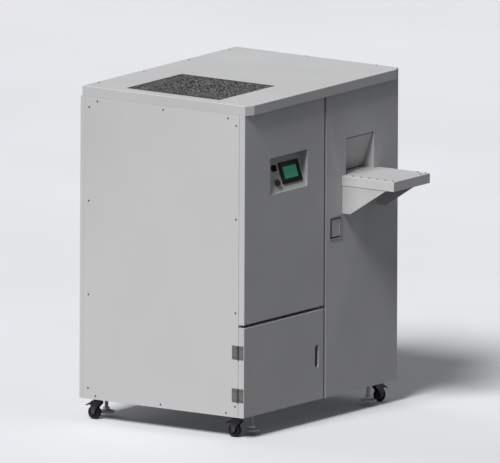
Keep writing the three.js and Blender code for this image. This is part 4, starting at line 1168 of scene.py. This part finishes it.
def addTube(bm, path, radius, sides, matrix):
    loops = []
    for k, point in enumerate(path):
        ahead = Vector(path[min(k + 1, len(path) - 1)]) - Vector(path[max(k - 1, 0)])
        side = Vector((0, 0, 1)).cross(ahead.normalized())
        loops.append([
            Vector(point) + side * radius * math.cos(2 * math.pi * i / sides)
            + Vector((0, 0, radius * math.sin(2 * math.pi * i / sides))) for i in range(sides)])
    addLoops(bm, loops, matrix)


def makeHeater(look):
    middle, low, high = nodeMiddle("heater_element")
    bend = look["pitch"] * 0.3
    x0, x1 = low.x / mm + bend, high.x / mm - bend
    y0, z = low.y / mm + look["radius"], middle.z / mm
    path = []
    for turn in range(look["passes"]):
        y = y0 + turn * look["pitch"]
        start, end = (x0, x1) if turn % 2 == 0 else (x1, x0)
        path += [(start, y, z), ((start + end) / 2, y, z), (end, y, z)]
        if turn == look["passes"] - 1:
            break
        outward = bend if end > start else -bend
        for step in range(1, look["bendSteps"]):
            angle = math.pi * step / look["bendSteps"]
            along = y + look["pitch"] / 2 * (1 - math.cos(angle))
            path.append((end + outward * math.sin(angle), along, z))
    bm = bmesh.new()
    addTube(bm, path, look["radius"], 16, inMillimetres)
    standsFor(meshObject("heater_tube", bm, heaterMaterial, 50), "heater_element")


# Round wires across a frame that stands on four legs
def makeRack(look):
    _, low, high = nodeMiddle("board_rack")
    x0, x1, y0, y1 = low.x / mm, high.x / mm, low.y / mm, high.y / mm
    top, floor, wire = high.z / mm, low.z / mm, look["wire"]
    space, thin = inMillimetres, wire * look["crossShare"]
    bm = bmesh.new()
    side = drum(wire, -1, y1 - y0 - 1, (0.5, 1), (0.5, 1))
    for x in (x0 + wire, x1 - wire):
        addLathe(bm, side, 14, space @ moved(x, y0 + 1, top - wire) @ turned(-90, "X"))
        for y in (y0 + wire, y1 - wire):
            addLathe(bm, drum(wire, floor, top - wire), 14, space @ moved(x, y, 0))
    for k in range(look["crossWires"]):
        y = y0 + wire + (y1 - y0 - 2 * wire) * k / (look["crossWires"] - 1)
        place = space @ moved(x0 + wire, y, top - thin) @ turned(90, "Y")
        addLathe(bm, drum(thin, 0, x1 - x0 - 2 * wire), 12, place)
    standsFor(meshObject("wire_rack", bm, materialOf["stainless"]), "board_rack")


roundedNode("oven_chamber", 1.0 * mm)
makeHeater(heaterSizes)
makeRack(rackLook)
print("chamber done")


# Electrical plate and power inlet

electricsLook = {
    "left": 60, "face": 560, "width": 440, "floor": 50.3, "top": 350, "inset": 20,
    "contactors": 5, "contactorPitch": 62, "driveFins": 9, "finPitch": 7, "supplySlots": 7, "slotPitch": 14,
}


# Boxes are placed from the plate's left end and its face, and by their height in the cabinet
def makeElectrics(look):
    space = cabinetSpace @ moved(look["left"], look["face"], 0)
    width, floor, inset = look["width"], look["floor"], look["inset"]
    bm = bmesh.new()
    addBox(bm, (0, 0, floor), (width, 3, look["top"]), space)
    addBox(bm, (0, -40, floor), (width, 0.5, floor + 3), space)
    addBox(bm, (inset, -2, 95), (width - inset, 0.5, 130), space)
    for z in (95, 127):
        addBox(bm, (inset, -8, z), (width - inset, -1, z + 3), space)
    plate = meshObject("device_plate", bm, materialOf["plate_aluminium"])
    standsFor(bevelled(plate, 0.6 * mm), "electrical_plate")
    bm = bmesh.new()
    addBox(bm, (inset, -60, 200), (135, -0.5, 330), space)
    for slot in range(look["supplySlots"]):
        x = inset + 10 + slot * look["slotPitch"]
        addBox(bm, (x, -61.5, 232), (x + 6, -59, 318), space)
    ridesWith(bevelled(meshObject("supply_case", bm, materialOf["stainless"]), 1.0 * mm), "electrical_plate")
    bm = bmesh.new()
    addBox(bm, (165, -110, 160), (255, -0.5, 330), space)
    for fin in range(look["driveFins"]):
        z = 176 + fin * look["finPitch"]
        addBox(bm, (172, -111.5, z), (248, -109, z + 3), space)
    addBox(bm, (178, -112.5, 262), (242, -109, 318), space)
    drive = meshObject("drive_case", bm, materialOf["black_plastic"])
    ridesWith(bevelled(drive, 1.4 * mm), "electrical_plate")
    bm = bmesh.new()
    screws = bmesh.new()
    for k in range(look["contactors"]):
        x = 2 * inset + k * look["contactorPitch"]
        addBox(bm, (x, -52, 80), (x + 45, -8.5, 148), space)
        addBox(bm, (x + 4, -70, 96), (x + 41, -50, 132), space)
        for post in range(3):
            for z in (87, 141):
                place = space @ moved(x + 10 + post * 12.5, -52, z) @ turned(90, "X")
                addLathe(screws, drum(3.6, -1, 2, highRim=(0.8, 0.6)), 14, place)
    ridesWith(bevelled(meshObject("contactor_cases", bm, palePlastic), 1.0 * mm), "electrical_plate")
    ridesWith(meshObject("contactor_screws", screws, materialOf["zinc_steel"]), "electrical_plate")


def makeInlet():
    middle, low, high = nodeMiddle("power_inlet")
    space = moved(middle.x, high.y, middle.z) @ inMillimetres @ turned(90, "X")
    bm = bmesh.new()
    reach = (high.y - low.y) / mm
    barrel = [(7, 0), (9, -0.6), (11.5, -0.6), (12, 0.2), (12, reach - 1), (11, reach)]
    addLathe(bm, barrel + [(8, reach), (7, reach - 1)], 40, space, ring=True)
    addLathe(bm, [(11.6, 2.4), (17, 2.4), (18, 3), (18, 7.6), (17, 8.2), (11.6, 8.2)], 6, space, ring=True)
    standsFor(meshObject("inlet_gland", bm, materialOf["black_plastic"]), "power_inlet")


makeElectrics(electricsLook)
makeInlet()
print("electrics done")


# Stage: a floor, a weak sky, a key and a fill sun, and a parallel camera

floorLook = {
    "dark": (0.62, 0.625, 0.645), "light": (0.66, 0.665, 0.69), "patchScale": 0.5,
    "roughness": (0.7, 0.8), "grainScale": 40.0, "grainDepth": 0.0001, "specular": 0.2,
}
lightLook = {
    "key": 4.2, "keyDirection": (0.66, 0.06, -0.74), "keySoftness": 20,
    "fill": 1.1, "fillDirection": (-0.15, -0.96, -0.25), "fillSoftness": 40,
    "sky": 0.19, "skyColour": (0.93, 0.95, 1.0), "floorReach": 9,
}
cameraLook = {
    "azimuth": -55.3, "elevation": 10.35, "roll": 0.25, "width": 2.0, "right": 0.022, "up": 0.7492,
    "distance": 6,
}


def addSun(name, direction, strength, softness):
    lamp = bpy.data.lights.new(name, "SUN")
    lamp.energy = strength
    lamp.angle = math.radians(softness)
    sun = bpy.data.objects.new(name, lamp)
    sun.rotation_euler = Vector(direction).to_track_quat("-Z", "Y").to_euler()
    bpy.context.scene.collection.objects.link(sun)


def addStage(look):
    bm = bmesh.new()
    reach = look["floorReach"]
    addBox(bm, (-reach, -reach, -0.02), (reach, reach, -0.0005))
    floor = meshObject("floor", bm, finish("floor", floorLook))
    floor.visible_diffuse = False
    world = bpy.data.worlds.new("studio")
    world.use_nodes = True
    background = world.node_tree.nodes["Background"]
    background.inputs["Color"].default_value = (*look["skyColour"], 1)
    background.inputs["Strength"].default_value = look["sky"]
    bpy.context.scene.world = world
    addSun("key from the left", look["keyDirection"], look["key"], look["keySoftness"])
    addSun("fill from behind", look["fillDirection"], look["fill"], look["fillSoftness"])


def addCamera(look):
    lens = bpy.data.cameras.new("camera")
    lens.type = "ORTHO"
    lens.ortho_scale = look["width"]
    azimuth, elevation = math.radians(look["azimuth"]), math.radians(look["elevation"])
    right = Vector((math.cos(azimuth), math.sin(azimuth), 0))
    level = Vector((-math.sin(azimuth), math.cos(azimuth), 0))
    ahead = level * math.cos(elevation) - Vector((0, 0, math.sin(elevation)))
    up = right.cross(ahead)
    corner = Vector((leftX, frontY, baseZ))
    target = corner + right * look["right"] + up * look["up"]
    camera = bpy.data.objects.new("camera", lens)
    turn = ahead.to_track_quat("-Z", "Y").to_matrix().to_4x4()
    place = Matrix.Translation(target - ahead * look["distance"])
    camera.matrix_world = place @ turn @ turned(look["roll"], "Z")
    bpy.context.scene.collection.objects.link(camera)
    bpy.context.scene.camera = camera


addStage(lightLook)
addCamera(cameraLook)
bpy.context.scene.view_settings.view_transform = "Standard"
print("stage, lights and camera done")
